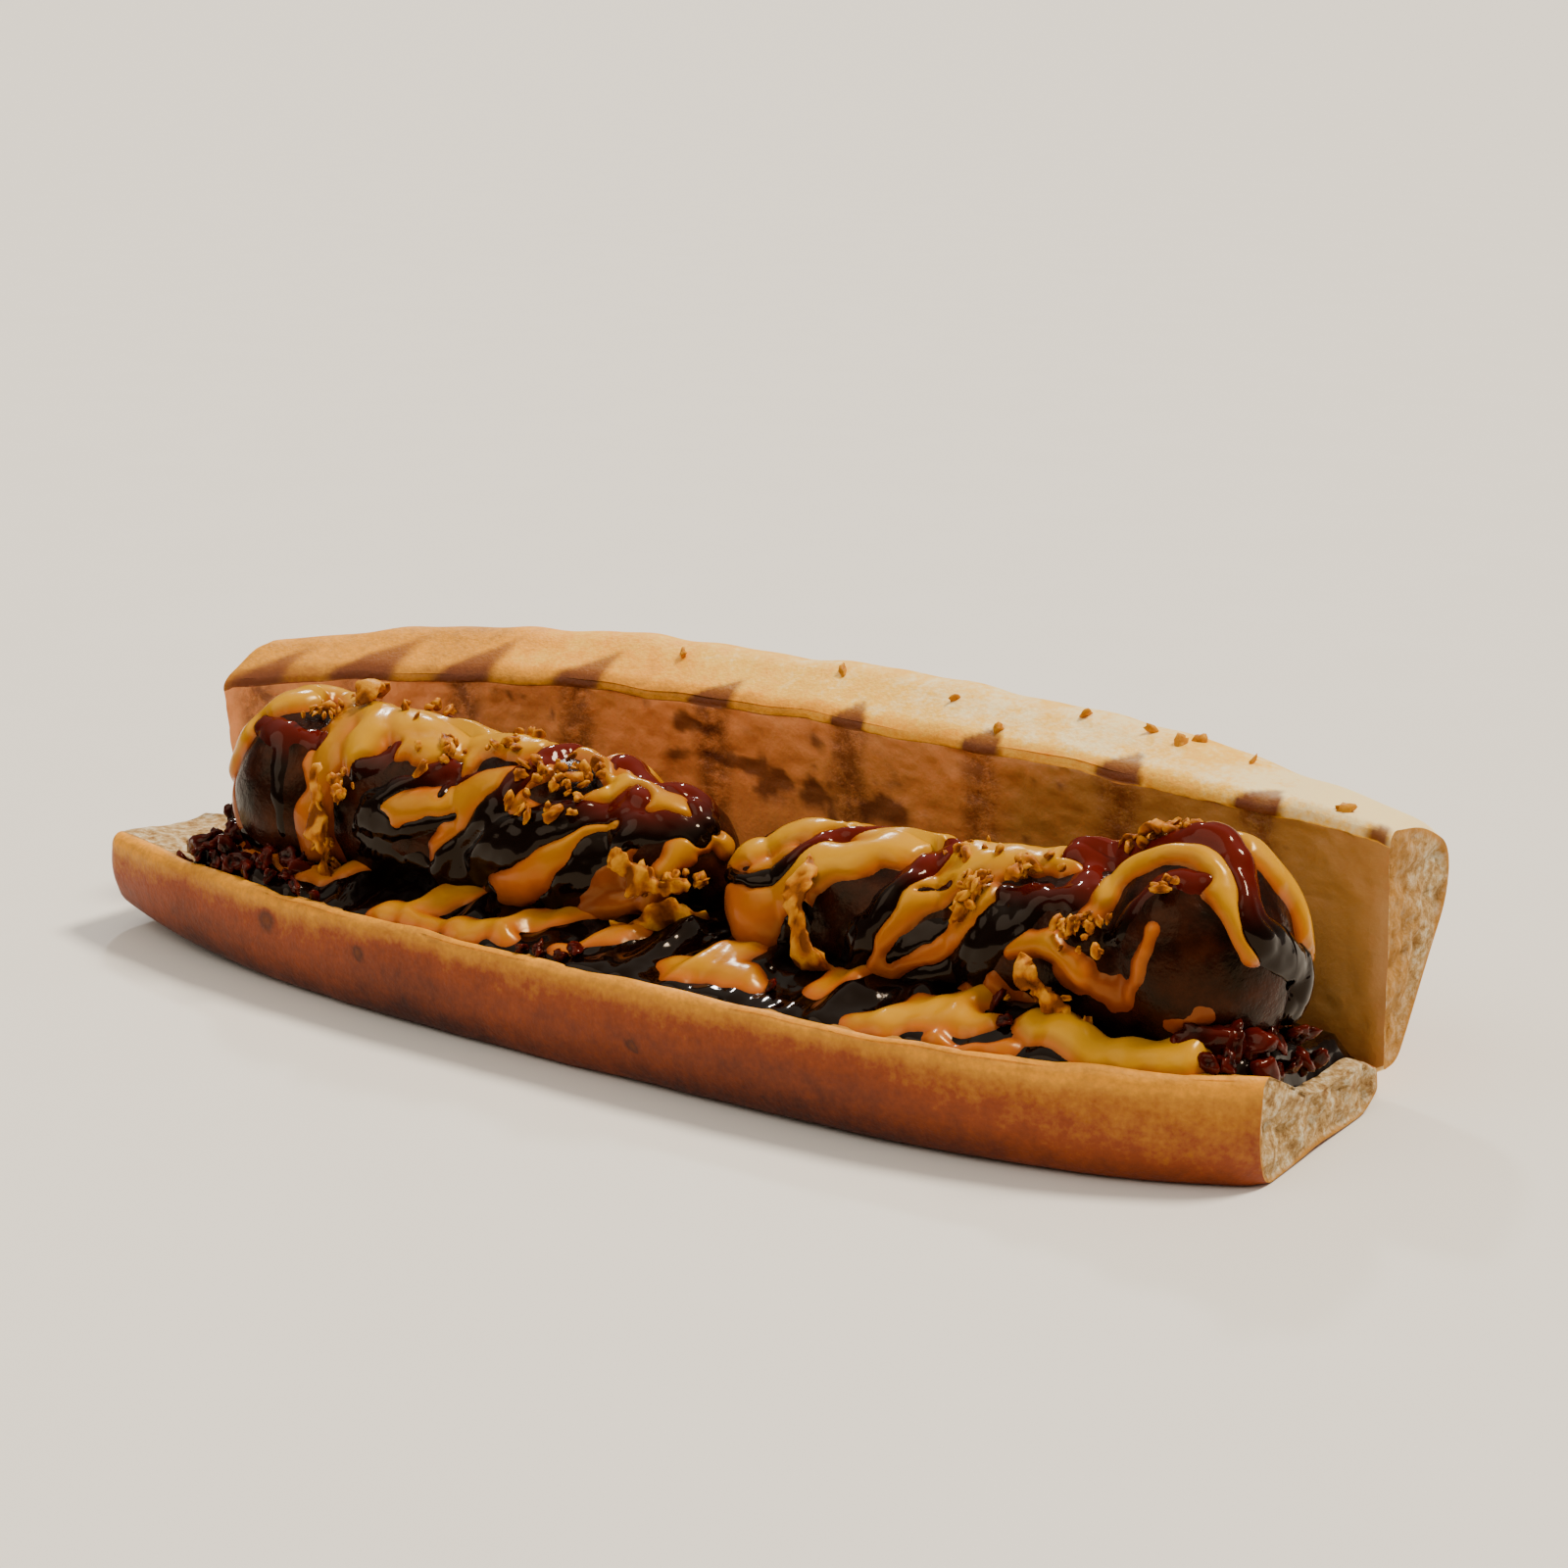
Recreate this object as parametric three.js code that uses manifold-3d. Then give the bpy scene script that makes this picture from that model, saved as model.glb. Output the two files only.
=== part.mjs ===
// A hot dog: a long roll cut open lengthwise, with two thick slashed sausages laid end to end on its
// lower half. Cheese sauce and barbecue sauce are drizzled across them and pool on the bread, with
// crisp fried onion on top. The upper half of the roll stands open behind the filling.
// Millimetres. X runs along the roll, Y from the open front to the back, Z up from the underside.
import * as THREE from "three";
import { mergeVertices } from "three/addons/utils/BufferGeometryUtils.js";
import Module from "manifold-3d";

const wasm = await Module();
wasm.setup();

// The whole roll
const ROLL_LENGTH = 260;
const HALF_LENGTH = ROLL_LENGTH / 2;
const CLEARANCE = 0.3;

// Lower half of the roll. Its front edge bows out in the middle and turns in towards both cut ends.
const LOWER = {
  front: { left: -38.4, middle: -52.4, right: -31.4 },
  back: { left: -0.6, middle: 22.2, right: 18.2 },
  leftRise: 4.6,
  riseFrom: 0.5,
  lip: 20.5,
  floor: 11,
  hinge: 7.5,
  slope: 21,
};

// Beyond the filling, at the left end, the crumb of the lower half isn't pressed down
const UNPRESSED = { from: -104, to: -119, rise: 7.5 };

// Upper half of the roll, stood on its edge. Its cut face leans a little over the filling.
const UPPER = {
  foot: { left: 0.6, middle: 23.1, right: 19.1 },
  lean: 4,
  footHeight: { left: 7, middle: 0, right: 5 },
  faceTop: { left: 46.5, middle: 54, right: 50.6 },
  crown: { left: 54.2, middle: 62.4, right: 49.2 },
  thickness: { left: 25, middle: 30, right: 26 },
};

// Sausages: radius of the body, and the slashes that let it swell into bulges
const SAUSAGE_RADIUS = 17.5;
const SAUSAGES = [
  { name: "sausage_left", from: -102, to: 13 },
  { name: "sausage_right", from: 17, to: 125.3 },
];
const FILLING = { y: -16.4, skew: 0.03, underside: 12.6 };
const BULGE = { pitch: 35, first: -82, depth: 3.2, slant: 11, sharpness: 1.6 };
const BULGE_LIFT = [4.4, 2.7, 1.2, -1.8, -4.8, -3.6, 4.8];

// Ribbons of drizzle over the sausages. Each runs over places of [x, degrees from the crown], negative
// towards the front, and has a half width and a height.
const CHEESE = [
  { over: [[-99, -55], [-96, -28], [-90, -2], [-84, 14], [-74, 12]], width: 4.8, height: 3.2 },
  { over: [[-77, 8], [-73, -38], [-72, -64], [-72, -90], [-71, -125]], width: 5.2, height: 2 },
  { over: [[-74, 14], [-67, -16], [-64, -36]], width: 5.2, height: 2.8 },
  { over: [[-63, -4], [-53, -8], [-46, 0], [-33, -3]], width: 7.2, height: 2.5 },
  { over: [[-29, -39], [-36, -50], [-45, -63], [-58, -77]], width: 4.4, height: 2.2 },
  { over: [[-2, -52], [-9, -63], [-15, -82], [-22, -100], [-33, -124], [-45, -142]], width: 5, height: 2.4 },
  { over: [[0, -104], [-7, -112], [-17, -134]], width: 2.6, height: 1.8 },
  { over: [[-28, -4], [-24, 8], [-16, 4], [-9, -8], [-8, -24]], width: 3, height: 2.2 },
  { over: [[12, 6], [10, -20], [9, -45], [8, -70], [4, -104]], width: 3, height: 2.5 },
  { over: [[20, -40], [25, -26], [30, -10], [38, 8]], width: 4.6, height: 2.4 },
  { over: [[38, -46], [33, -72], [30, -100], [28, -132]], width: 7.8, height: 2.4 },
  { over: [[62, 2], [53, -10], [47, -32], [40, -44]], width: 5, height: 2.6 },
  { over: [[70, -20], [62, -48], [57, -76], [55, -98], [50, -134]], width: 4.2, height: 2.6 },
  { over: [[74, -50], [71, -80], [66, -100], [59, -108]], width: 4.4, height: 2.4 },
  { over: [[62, -4], [74, -5], [85, -2]], width: 6, height: 2.8 },
  { over: [[82, -80], [87, -74], [92, -75], [97, -86]], width: 2.6, height: 2.4 },
  { over: [[97, -38], [98, -24], [104, -18], [112, -15], [117, -24], [120, -34]], width: 3.2, height: 2.6 },
  { over: [[110, 8], [116, 22], [119, 40], [121, 64], [121.5, 100]], width: 4.6, height: 3 },
  { over: [[-40, 15], [-34, 60], [-42, 118]], width: 6, height: 2.3 },
  { over: [[34, 20], [40, 70], [32, 118]], width: 6.5, height: 2.3 },
  { over: [[72, 30], [76, 75], [70, 118]], width: 6, height: 2.3 },
];
const BARBECUE = [
  { over: [[-44, -31], [-50, -48], [-58, -67]], width: 2.4, height: 2.4 },
  { over: [[-24, 20], [-27, -30], [-28, -53], [-33, -70], [-41, -102]], width: 2.8, height: 2.4 },
  { over: [[-4, -26], [-17, -58], [-24, -74], [-41, -114], [-54, -140]], width: 3.8, height: 2.4 },
  { over: [[-12, 14], [-6, 10], [1, 7], [6, 8], [9, -8]], width: 3.4, height: 3 },
  { over: [[20, -66], [27, -66], [32, -50], [36, -28], [40, -8], [56, 24]], width: 2.8, height: 2.6 },
  { over: [[64, 14], [60, -14], [57, -50], [55, -72], [52, -92], [50, -116]], width: 3, height: 2.6 },
  { over: [[84, -50], [80, -66], [76, -86], [69, -107], [62, -122], [55, -142]], width: 3.8, height: 2.4 },
  { over: [[86, 0], [91, 8], [98, 10], [104, 6], [110, 4], [116, -4]], width: 4.2, height: 3.2 },
  { over: [[116, -4], [119, -14], [121, -26], [122, -40]], width: 4, height: 2.9 },
];
const RIBBON_STEPS = 12;

// Sauce that has run down and pools on the lower half
const POOL = {
  from: -121,
  to: 127,
  frontInset: 2.2,
  frontLevel: 20.2,
  sideLevel: 24,
  backLevel: 15,
  lump: 1.2,
};

// Small crumbs of fried onion stuck in the sauce, as groups round a place on the filling
const CRUMB = { length: 2.6, width: 1.9, height: 1.5 };
const CRUMB_GROUPS = [
  { x: 104, angle: 12, count: 5, spread: 6 },
  { x: 72, angle: -46, count: 5, spread: 5 },
  { x: 97, angle: -60, count: 5, spread: 6 },
  { x: 8, angle: -56, count: 3, spread: 4 },
  { x: -19, angle: -38, count: 7, spread: 7 },
  { x: -44, angle: -18, count: 4, spread: 7 },
  { x: -83, angle: -14, count: 4, spread: 5 },
];

// Larger pieces of fried onion, each a crinkled strip: place on the filling, heading and size
const ONIONS = [
  { x: 43.5, angle: -90, heading: 68, length: 29, width: 6, curl: 3 },
  { x: 5, angle: -116, heading: 20, length: 13, width: 9, curl: 2 },
  { x: 4, angle: -78, heading: 12, length: 12, width: 6, curl: 2 },
  { x: -68, angle: -88, heading: 85, length: 22, width: 5, curl: 2 },
  { x: -75, angle: 6, heading: 70, length: 11, width: 6, curl: 3 },
  { x: 97, angle: 5, heading: 172, length: 13, width: 5.5, curl: 1 },
  { x: 91, angle: -94, heading: 50, length: 14, width: 5, curl: 1.5 },
];
const ONION_THICKNESS = 2.2;
const ONION_SIDES = 6;

// Fineness of the faceted surfaces
const SIDES = 34;
const STEP = 3.8;
const CAP_STEPS = 6;
const BREAD_STATIONS = 26;
const BREAD_ARC_STEPS = 2;

const rad = THREE.MathUtils.degToRad;
const lerp = THREE.MathUtils.lerp;

// Repeatable random numbers from 0 to 1.
function seeded(seed) {
  let state = seed;
  return () => {
    state = (state * 1664525 + 1013904223) % 4294967296;
    return state / 4294967296;
  };
}

// A size that runs from its value at the left end through the middle to the right end.
function along(size, x, power = 3) {
  const t = x / HALF_LENGTH;
  const end = t < 0 ? size.left : size.right;
  return size.middle + (end - size.middle) * Math.abs(t) ** power;
}

// A soft unevenness in the range of about -1 to 1, repeatable and smooth.
function uneven(x, angle, seed) {
  return (
    Math.sin(x * 0.11 + seed) * Math.cos(angle * 2 + seed * 1.7) * 0.5 +
    Math.sin(x * 0.23 + angle * 3 + seed * 2.3) * 0.3 +
    Math.cos(x * 0.41 - angle * 5 + seed * 0.6) * 0.2
  );
}

// A closed outline in Y and Z with each of its corners rounded: corners are [y, z, radius].
function roundedOutline(corners) {
  const points = corners.map(([y, z]) => new THREE.Vector2(y, z));
  const outline = [];
  points.forEach((corner, i) => {
    const before = points[(i + points.length - 1) % points.length];
    const after = points[(i + 1) % points.length];
    const radius = corners[i][2];
    const enter = corner.clone().add(before.clone().sub(corner).setLength(radius));
    const leave = corner.clone().add(after.clone().sub(corner).setLength(radius));
    const arc = new THREE.QuadraticBezierCurve(enter, corner, leave);
    outline.push(...arc.getPoints(BREAD_ARC_STEPS));
  });
  return outline;
}

// A closed solid through rings of points. Each ring goes counterclockwise seen from the ring after it,
// and a ring of one point is a pole. Open ends are closed round their middle.
function loft(rings) {
  const first = rings[0];
  const last = rings[rings.length - 1];
  const closed = [...rings];
  if (first.length > 1) closed.unshift([middleOf(first)]);
  if (last.length > 1) closed.push([middleOf(last)]);
  const positions = [];
  const starts = closed.map((ring) => {
    const start = positions.length / 3;
    ring.forEach((point) => positions.push(point.x, point.y, point.z));
    return start;
  });
  const index = [];
  for (let i = 0; i + 1 < closed.length; i += 1) {
    const near = closed[i].length;
    const far = closed[i + 1].length;
    const count = Math.max(near, far);
    for (let j = 0; j < count; j += 1) {
      const a = starts[i] + (j % near);
      const b = starts[i] + ((j + 1) % near);
      const c = starts[i + 1] + (j % far);
      const d = starts[i + 1] + ((j + 1) % far);
      if (near > 1) index.push(a, b, c);
      if (far > 1) index.push(b, d, c);
    }
  }
  const geometry = new THREE.BufferGeometry();
  geometry.setAttribute("position", new THREE.Float32BufferAttribute(positions, 3));
  geometry.setIndex(index);
  return geometry;
}

function middleOf(ring) {
  const sum = ring.reduce((total, point) => total.add(point), new THREE.Vector3());
  return sum.divideScalar(ring.length);
}

// Geometry to solid and back, for the joins and cuts.
function solidOf(geometry) {
  const bare = geometry.clone();
  bare.deleteAttribute("normal");
  bare.deleteAttribute("uv");
  const merged = mergeVertices(bare, 1e-4);
  const vertProperties = new Float32Array(merged.attributes.position.array);
  const triVerts = new Uint32Array(merged.index.array);
  return new wasm.Manifold(new wasm.Mesh({ numProp: 3, vertProperties, triVerts }));
}

function geometryOf(solid) {
  const mesh = solid.getMesh();
  const geometry = new THREE.BufferGeometry();
  geometry.setAttribute("position", new THREE.Float32BufferAttribute(mesh.vertProperties, 3));
  geometry.setIndex([...mesh.triVerts]);
  geometry.computeVertexNormals();
  return geometry;
}

// The largest body of a solid, without loose scraps.
function largest(solid) {
  const bodies = solid.decompose();
  return bodies.reduce((best, body) => (body.volume() > best.volume() ? body : best));
}

// Stations along the roll, closer together where the crust turns in at the ends.
function breadStations() {
  const stations = [];
  for (let i = 0; i <= BREAD_STATIONS; i += 1) {
    const t = (2 * i) / BREAD_STATIONS - 1;
    stations.push(HALF_LENGTH * Math.sin((t * Math.PI) / 2));
  }
  return stations;
}

function lowerSection(x, raise = 0) {
  const front = along(LOWER.front, x, x < 0 ? 2.8 : 3.9);
  const back = along(LOWER.back, x);
  const wave = uneven(x, 0, 1.3) * 0.5;
  const lip = LOWER.lip + wave;
  const floor = LOWER.floor + UNPRESSED.rise * THREE.MathUtils.smoothstep(-x, -UNPRESSED.from, -UNPRESSED.to);
  const rise = Math.max(0, -x / HALF_LENGTH - LOWER.riseFrom) / (1 - LOWER.riseFrom);
  const bottom = LOWER.leftRise * rise ** 2 + raise;
  return roundedOutline([
    [front + 3, bottom, 3.5],
    [back - 5, bottom, 3],
    [back, lerp(bottom, LOWER.hinge + raise, 0.4), 1],
    [back - 1, LOWER.hinge + raise, 1.2],
    [back - 8, floor + raise, 4],
    [front + LOWER.slope, floor + raise, 8],
    [front + 2.2, lip + raise, 1.2],
    [front + 0.6, lip - 1.5 + raise, 1],
    [front - 0.4, lerp(bottom, lip + raise, 0.42), 4.5],
  ]).map(({ x: y, y: z }) => new THREE.Vector3(x, y, z));
}

function lowerHalf(raise = 0) {
  return loft(breadStations().map((x) => lowerSection(x, raise)));
}

function upperSection(x) {
  const foot = along(UPPER.foot, x);
  const footZ = along(UPPER.footHeight, x, 6);
  const top = along(UPPER.faceTop, x, 2.2) + uneven(x, 1, 4.1) * 0.6;
  const thick = along(UPPER.thickness, x, 5);
  const faceTopY = foot - UPPER.lean;
  const crown = along(UPPER.crown, x, 2.6) + uneven(x, 2, 2.7) * 0.8;
  const height = top - footZ;
  return roundedOutline([
    [foot, footZ, 1],
    [foot + 6, footZ, 3],
    [foot + 0.62 * thick, footZ + 0.3 * height, 6],
    [foot + thick, footZ + 0.6 * height, 6],
    [foot + thick - 1.5, footZ + 0.82 * height, 5],
    [foot + 0.45 * thick, crown, 7],
    [faceTopY + 1.5, top + 0.8, 1.6],
    [faceTopY, top - 1.2, 1],
    [faceTopY + 0.45 * UPPER.lean, footZ + 0.5 * height, 8],
  ]).map(({ x: y, y: z }) => new THREE.Vector3(x, y, z));
}

function upperHalf() {
  return loft(breadStations().map((x) => upperSection(x)));
}

// The sausages' centre line and bulges

function bulgeLift(x) {
  const place = (x - BULGE.first) / BULGE.pitch + 0.5;
  const low = THREE.MathUtils.clamp(Math.floor(place), 0, BULGE_LIFT.length - 1);
  const high = Math.min(low + 1, BULGE_LIFT.length - 1);
  return lerp(BULGE_LIFT[low], BULGE_LIFT[high], THREE.MathUtils.smoothstep(place - low, 0, 1));
}

function radiusAt(sausage, x, angle) {
  const inCap = Math.max(0, sausage.from + SAUSAGE_RADIUS - x, x - sausage.to + SAUSAGE_RADIUS);
  const cap = Math.sqrt(Math.max(0, 1 - (inCap / SAUSAGE_RADIUS) ** 2));
  const slashed = x + BULGE.slant * (angle / (Math.PI / 2));
  const wave = Math.abs(Math.sin((Math.PI * (slashed - BULGE.first)) / BULGE.pitch));
  const openSide = 0.5 + 0.5 * Math.cos(angle + 0.5);
  const slash = BULGE.depth * (1 - wave) ** BULGE.sharpness * openSide;
  const lift = bulgeLift(x) * (0.5 + 0.5 * Math.cos(angle));
  return cap * (SAUSAGE_RADIUS - slash + lift + 0.35 * uneven(x, angle, sausage.from));
}

function axisAt(x) {
  return new THREE.Vector3(x, FILLING.y + FILLING.skew * x, FILLING.underside + SAUSAGE_RADIUS);
}

// A point on the bare sausage. The angle is 0 at the crown and negative towards the front.
function onSausage(sausage, x, angle) {
  const radius = radiusAt(sausage, x, angle);
  const axis = axisAt(x);
  return new THREE.Vector3(x, axis.y + radius * Math.sin(angle), axis.z + radius * Math.cos(angle));
}

function outwardAt(sausage, point) {
  const reach = SAUSAGE_RADIUS * 0.9;
  const x = THREE.MathUtils.clamp(point.x, sausage.from + reach, sausage.to - reach);
  return point.clone().sub(axisAt(x)).normalize();
}

function sausageFor(x) {
  return x < SAUSAGES[0].to ? SAUSAGES[0] : SAUSAGES[1];
}

// Ribbons of drizzle, as paths over the filling's surface

function ribbonPath({ over }) {
  const curve = new THREE.SplineCurve(over.map(([x, angle]) => new THREE.Vector2(x, angle)));
  return curve.getPoints(RIBBON_STEPS).map(({ x, y: angle }) => onSausage(sausageFor(x), x, rad(angle)));
}

const RIBBONS = [...CHEESE, ...BARBECUE].map((ribbon) => ({ ...ribbon, path: ribbonPath(ribbon) }));

// How thick the sauce lies over a point of the bare sausage.
function sauceOver(point) {
  const nearest = new THREE.Vector3();
  const piece = new THREE.Line3();
  let deepest = 0;
  RIBBONS.forEach(({ path, width, height }) => {
    for (let i = 0; i + 1 < path.length; i += 1) {
      piece.set(path[i], path[i + 1]).closestPointToPoint(point, true, nearest);
      const share = nearest.distanceTo(point) / width;
      if (share < 1) deepest = Math.max(deepest, height * Math.sqrt(1 - share * share));
    }
  });
  return deepest;
}

function sausageStations({ from, to }) {
  const stations = [];
  for (let i = 1; i <= CAP_STEPS; i += 1) {
    const reach = SAUSAGE_RADIUS * (1 - Math.sin((i / CAP_STEPS) * (Math.PI / 2)));
    stations.push(SAUSAGE_RADIUS - Math.sqrt(SAUSAGE_RADIUS ** 2 - (SAUSAGE_RADIUS - reach) ** 2));
  }
  const cap = stations.reverse().map((distance) => from + distance);
  const bodyLength = to - from - 2 * SAUSAGE_RADIUS;
  const steps = Math.round(bodyLength / STEP);
  const body = Array.from({ length: steps + 1 }, (_, i) => from + SAUSAGE_RADIUS + (i * bodyLength) / steps);
  const farCap = cap.map((x) => from + to - x).reverse();
  return [...new Set([...cap, ...body, ...farCap].map((x) => Number(x.toFixed(4))))].sort((a, b) => a - b);
}

// A sausage with its drizzle as one closed skin. Grown, it is the room that its neighbours keep clear.
function dressedSausage(sausage, grow = 0) {
  const pole = (x) => {
    const point = onSausage(sausage, x, 0);
    const out = outwardAt(sausage, point);
    return [point.clone().addScaledVector(out, sauceOver(point) + grow)];
  };
  const rings = sausageStations(sausage)
    .filter((x) => x > sausage.from + 0.05 && x < sausage.to - 0.05)
    .map((x) => {
      const ring = [];
      for (let j = 0; j < SIDES; j += 1) {
        const point = onSausage(sausage, x, (-2 * Math.PI * j) / SIDES);
        const out = outwardAt(sausage, point);
        ring.push(point.clone().addScaledVector(out, sauceOver(point) + grow));
      }
      return ring;
    });
  return loft([pole(sausage.from), ...rings, pole(sausage.to)]);
}

// Sauce that has run down on to the lower half, cut round the sausages

function poolSection(x) {
  const front = along(LOWER.front, x, x < 0 ? 2.8 : 3.9);
  const back = along(LOWER.back, x);
  const ending = Math.sqrt(Math.max(0, 1 - (x / (HALF_LENGTH + 2)) ** 12));
  const lumps = POOL.lump * uneven(x * 2.6, 0.4, 2.2);
  const edge = front + POOL.frontInset + 1.5 * (1 - ending) + 0.8 * uneven(x * 3, 1, 0.4);
  const frontLevel = lerp(LOWER.floor + 2, POOL.frontLevel, ending) + lumps;
  const sideLevel = lerp(LOWER.floor + 2, POOL.sideLevel, ending) + 2 * lumps;
  const backLevel = lerp(LOWER.floor + 1.5, POOL.backLevel, ending) - 0.5 * lumps;
  return roundedOutline([
    [edge, LOWER.floor - 3, 0.5],
    [back - 9, LOWER.floor - 3, 0.5],
    [back - 6, LOWER.floor + 0.6, 0.5],
    [back - 9, backLevel, 2],
    [FILLING.y, sideLevel, 4],
    [axisAt(x).y - 0.8 * SAUSAGE_RADIUS, sideLevel, 4],
    [edge + 1.2, frontLevel, 1.2],
    [edge, frontLevel - 1.6, 0.8],
  ]).map(({ x: y, y: z }) => new THREE.Vector3(x, y, z));
}

function saucePool(room) {
  const stations = breadStations().filter((x) => x > POOL.from + 2 && x < POOL.to - 2);
  const sheet = solidOf(loft([POOL.from, ...stations, POOL.to].map(poolSection)));
  const onBread = sheet.subtract(solidOf(lowerHalf(CLEARANCE)));
  return largest(room.reduce((rest, sausage) => rest.subtract(sausage), onBread));
}

// Fried onion

function onionPath({ x, angle, heading, length }) {
  const steps = 7;
  const path = [];
  for (let i = 0; i <= steps; i += 1) {
    const reach = length * (i / steps - 0.5);
    const placeX = x + reach * Math.cos(rad(heading));
    const placeAngle = rad(angle) - (reach * Math.sin(rad(heading))) / SAUSAGE_RADIUS;
    const point = onSausage(sausageFor(placeX), placeX, placeAngle);
    path.push({ point, out: outwardAt(sausageFor(placeX), point) });
  }
  return path;
}

// A crinkled strip that follows the filling, its middle lifted clear of the sauce.
function onionStrip(onion, seed) {
  const random = seeded(seed);
  const path = onionPath(onion);
  const rings = path.map(({ point, out }, i) => {
    const before = path[Math.max(0, i - 1)].point;
    const after = path[Math.min(path.length - 1, i + 1)].point;
    const ahead = after.clone().sub(before).normalize();
    const across = new THREE.Vector3().crossVectors(out, ahead).normalize();
    const share = i / (path.length - 1);
    const swell = Math.sqrt(Math.max(0.12, 1 - (2 * share - 1) ** 2)) * (0.8 + 0.4 * random());
    const lift = sauceOver(point) + ONION_THICKNESS / 2 + onion.curl * random() * 0.6;
    const centre = point.clone().addScaledVector(out, lift);
    const ring = [];
    for (let j = 0; j < ONION_SIDES; j += 1) {
      const turn = (2 * Math.PI * j) / ONION_SIDES;
      const crinkle = 0.75 + 0.5 * random();
      ring.push(
        centre
          .clone()
          .addScaledVector(across, 0.5 * onion.width * swell * crinkle * Math.cos(turn))
          .addScaledVector(out, 0.5 * ONION_THICKNESS * crinkle * Math.sin(turn)),
      );
    }
    return ring;
  });
  return loft(rings);
}

function farFromOnions(point, reach) {
  return ONIONS.every((onion) =>
    onionPath(onion).every((place) => place.point.distanceTo(point) > onion.width / 2 + reach),
  );
}

// Small crumbs stuck in the sauce of one sausage.
function crumbsOn(sausage, grow = 0) {
  const random = seeded(97);
  const crumbs = [];
  CRUMB_GROUPS.forEach((group) => {
    for (let i = 0; i < group.count; i += 1) {
      const x = group.x + (random() - 0.5) * group.spread * 2;
      const angle = rad(group.angle) + ((random() - 0.5) * group.spread * 2) / SAUSAGE_RADIUS;
      const turn = new THREE.Euler(random() * 3, random() * 3, random() * 3);
      const size = 0.7 + 0.6 * random();
      const point = onSausage(sausageFor(x), x, angle);
      const lift = sauceOver(point) + 0.2 * CRUMB.height;
      if (sausageFor(x) !== sausage || !farFromOnions(point, CRUMB.length + 1.5)) continue;
      const [length, width, height] = [CRUMB.length, CRUMB.width, CRUMB.height].map((s) => s * size + grow);
      const crumb = new THREE.IcosahedronGeometry(1, 0).scale(length, width, height);
      crumb.applyMatrix4(new THREE.Matrix4().makeRotationFromEuler(turn));
      const centre = point.clone().addScaledVector(outwardAt(sausage, point), lift);
      crumbs.push(solidOf(crumb.translate(centre.x, centre.y, centre.z)));
    }
  });
  return crumbs;
}

// Materials

function material(color, roughness) {
  return new THREE.MeshStandardMaterial({ color, roughness, metalness: 0 });
}

const CRUST = material("#c98a3c", 0.6);
const SAUCED = material("#d98a24", 0.25);
const SAUCE = material("#2a0f08", 0.15);
const ONION = material("#d9a24c", 0.7);

// The pieces, each in its own place

function meshOf(name, solid, finish) {
  const mesh = new THREE.Mesh(geometryOf(solid), finish);
  mesh.name = name;
  return mesh;
}

function withCrumbs(sausage, grow = 0) {
  return crumbsOn(sausage, grow).reduce(
    (whole, crumb) => whole.add(crumb),
    solidOf(dressedSausage(sausage, grow)),
  );
}

const room = SAUSAGES.map((sausage) => withCrumbs(sausage, CLEARANCE));
const sausages = SAUSAGES.map((sausage, i) =>
  i === 0 ? withCrumbs(sausage) : largest(withCrumbs(sausage).subtract(room[0])),
);
const pool = saucePool(room);
const raisedPool = solidOf(geometryOf(pool).translate(0, 0, CLEARANCE));

const pieces = new THREE.Group();
pieces.add(meshOf("bun_lower", solidOf(lowerHalf()), CRUST));
pieces.add(meshOf("bun_upper", solidOf(upperHalf()), CRUST));
SAUSAGES.forEach(({ name }, i) => pieces.add(meshOf(name, sausages[i], SAUCED)));
pieces.add(meshOf("sauce_pool", pool, SAUCE));
ONIONS.forEach((onion, i) => {
  const strip = room.reduce((rest, sausage) => rest.subtract(sausage), solidOf(onionStrip(onion, 11 + i)));
  pieces.add(meshOf(`fried_onion_${i + 1}`, largest(strip.subtract(raisedPool)), ONION));
});

// The origin is on the surface below, under the middle of the whole.
const box = new THREE.Box3().setFromObject(pieces);
const middle = box.getCenter(new THREE.Vector3());
pieces.position.set(-middle.x, -middle.y, -box.min.z);
const hotDog = new THREE.Group();
hotDog.add(pieces);

export default hotDog;
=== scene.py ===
"""A hot dog in a long cut roll: two slashed sausages under cheese sauce, barbecue sauce and fried onion.

Sizes inside the making of shapes are millimetres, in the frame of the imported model: X along the roll,
Y from the open front to the back, Z up. Every mesh is turned to metres when it becomes an object.
"""

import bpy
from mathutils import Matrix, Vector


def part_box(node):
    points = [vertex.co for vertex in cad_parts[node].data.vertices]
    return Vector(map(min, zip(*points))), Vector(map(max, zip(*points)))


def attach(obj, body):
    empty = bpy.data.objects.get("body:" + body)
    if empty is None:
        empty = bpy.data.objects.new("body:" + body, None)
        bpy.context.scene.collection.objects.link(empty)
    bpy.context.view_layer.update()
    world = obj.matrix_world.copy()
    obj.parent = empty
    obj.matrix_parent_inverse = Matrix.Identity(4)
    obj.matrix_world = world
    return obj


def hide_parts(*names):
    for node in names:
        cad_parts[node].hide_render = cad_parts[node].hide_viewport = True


bl_info = {
    "name": "Hot dog in a long roll",
    "version": (1, 0, 0),
    "blender": (4, 5, 0),
    "location": "View3D > Sidebar > Hot dog",
    "description": "Makes the roll, sausages, sauces and fried onion of a hot dog round its packed model",
    "category": "Add Mesh",
}

import math

import bmesh
import bpy
import numpy as np
from bpy.props import FloatProperty, FloatVectorProperty, PointerProperty
from bpy.types import Operator, Panel, PropertyGroup
from mathutils import Euler, Vector

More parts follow.
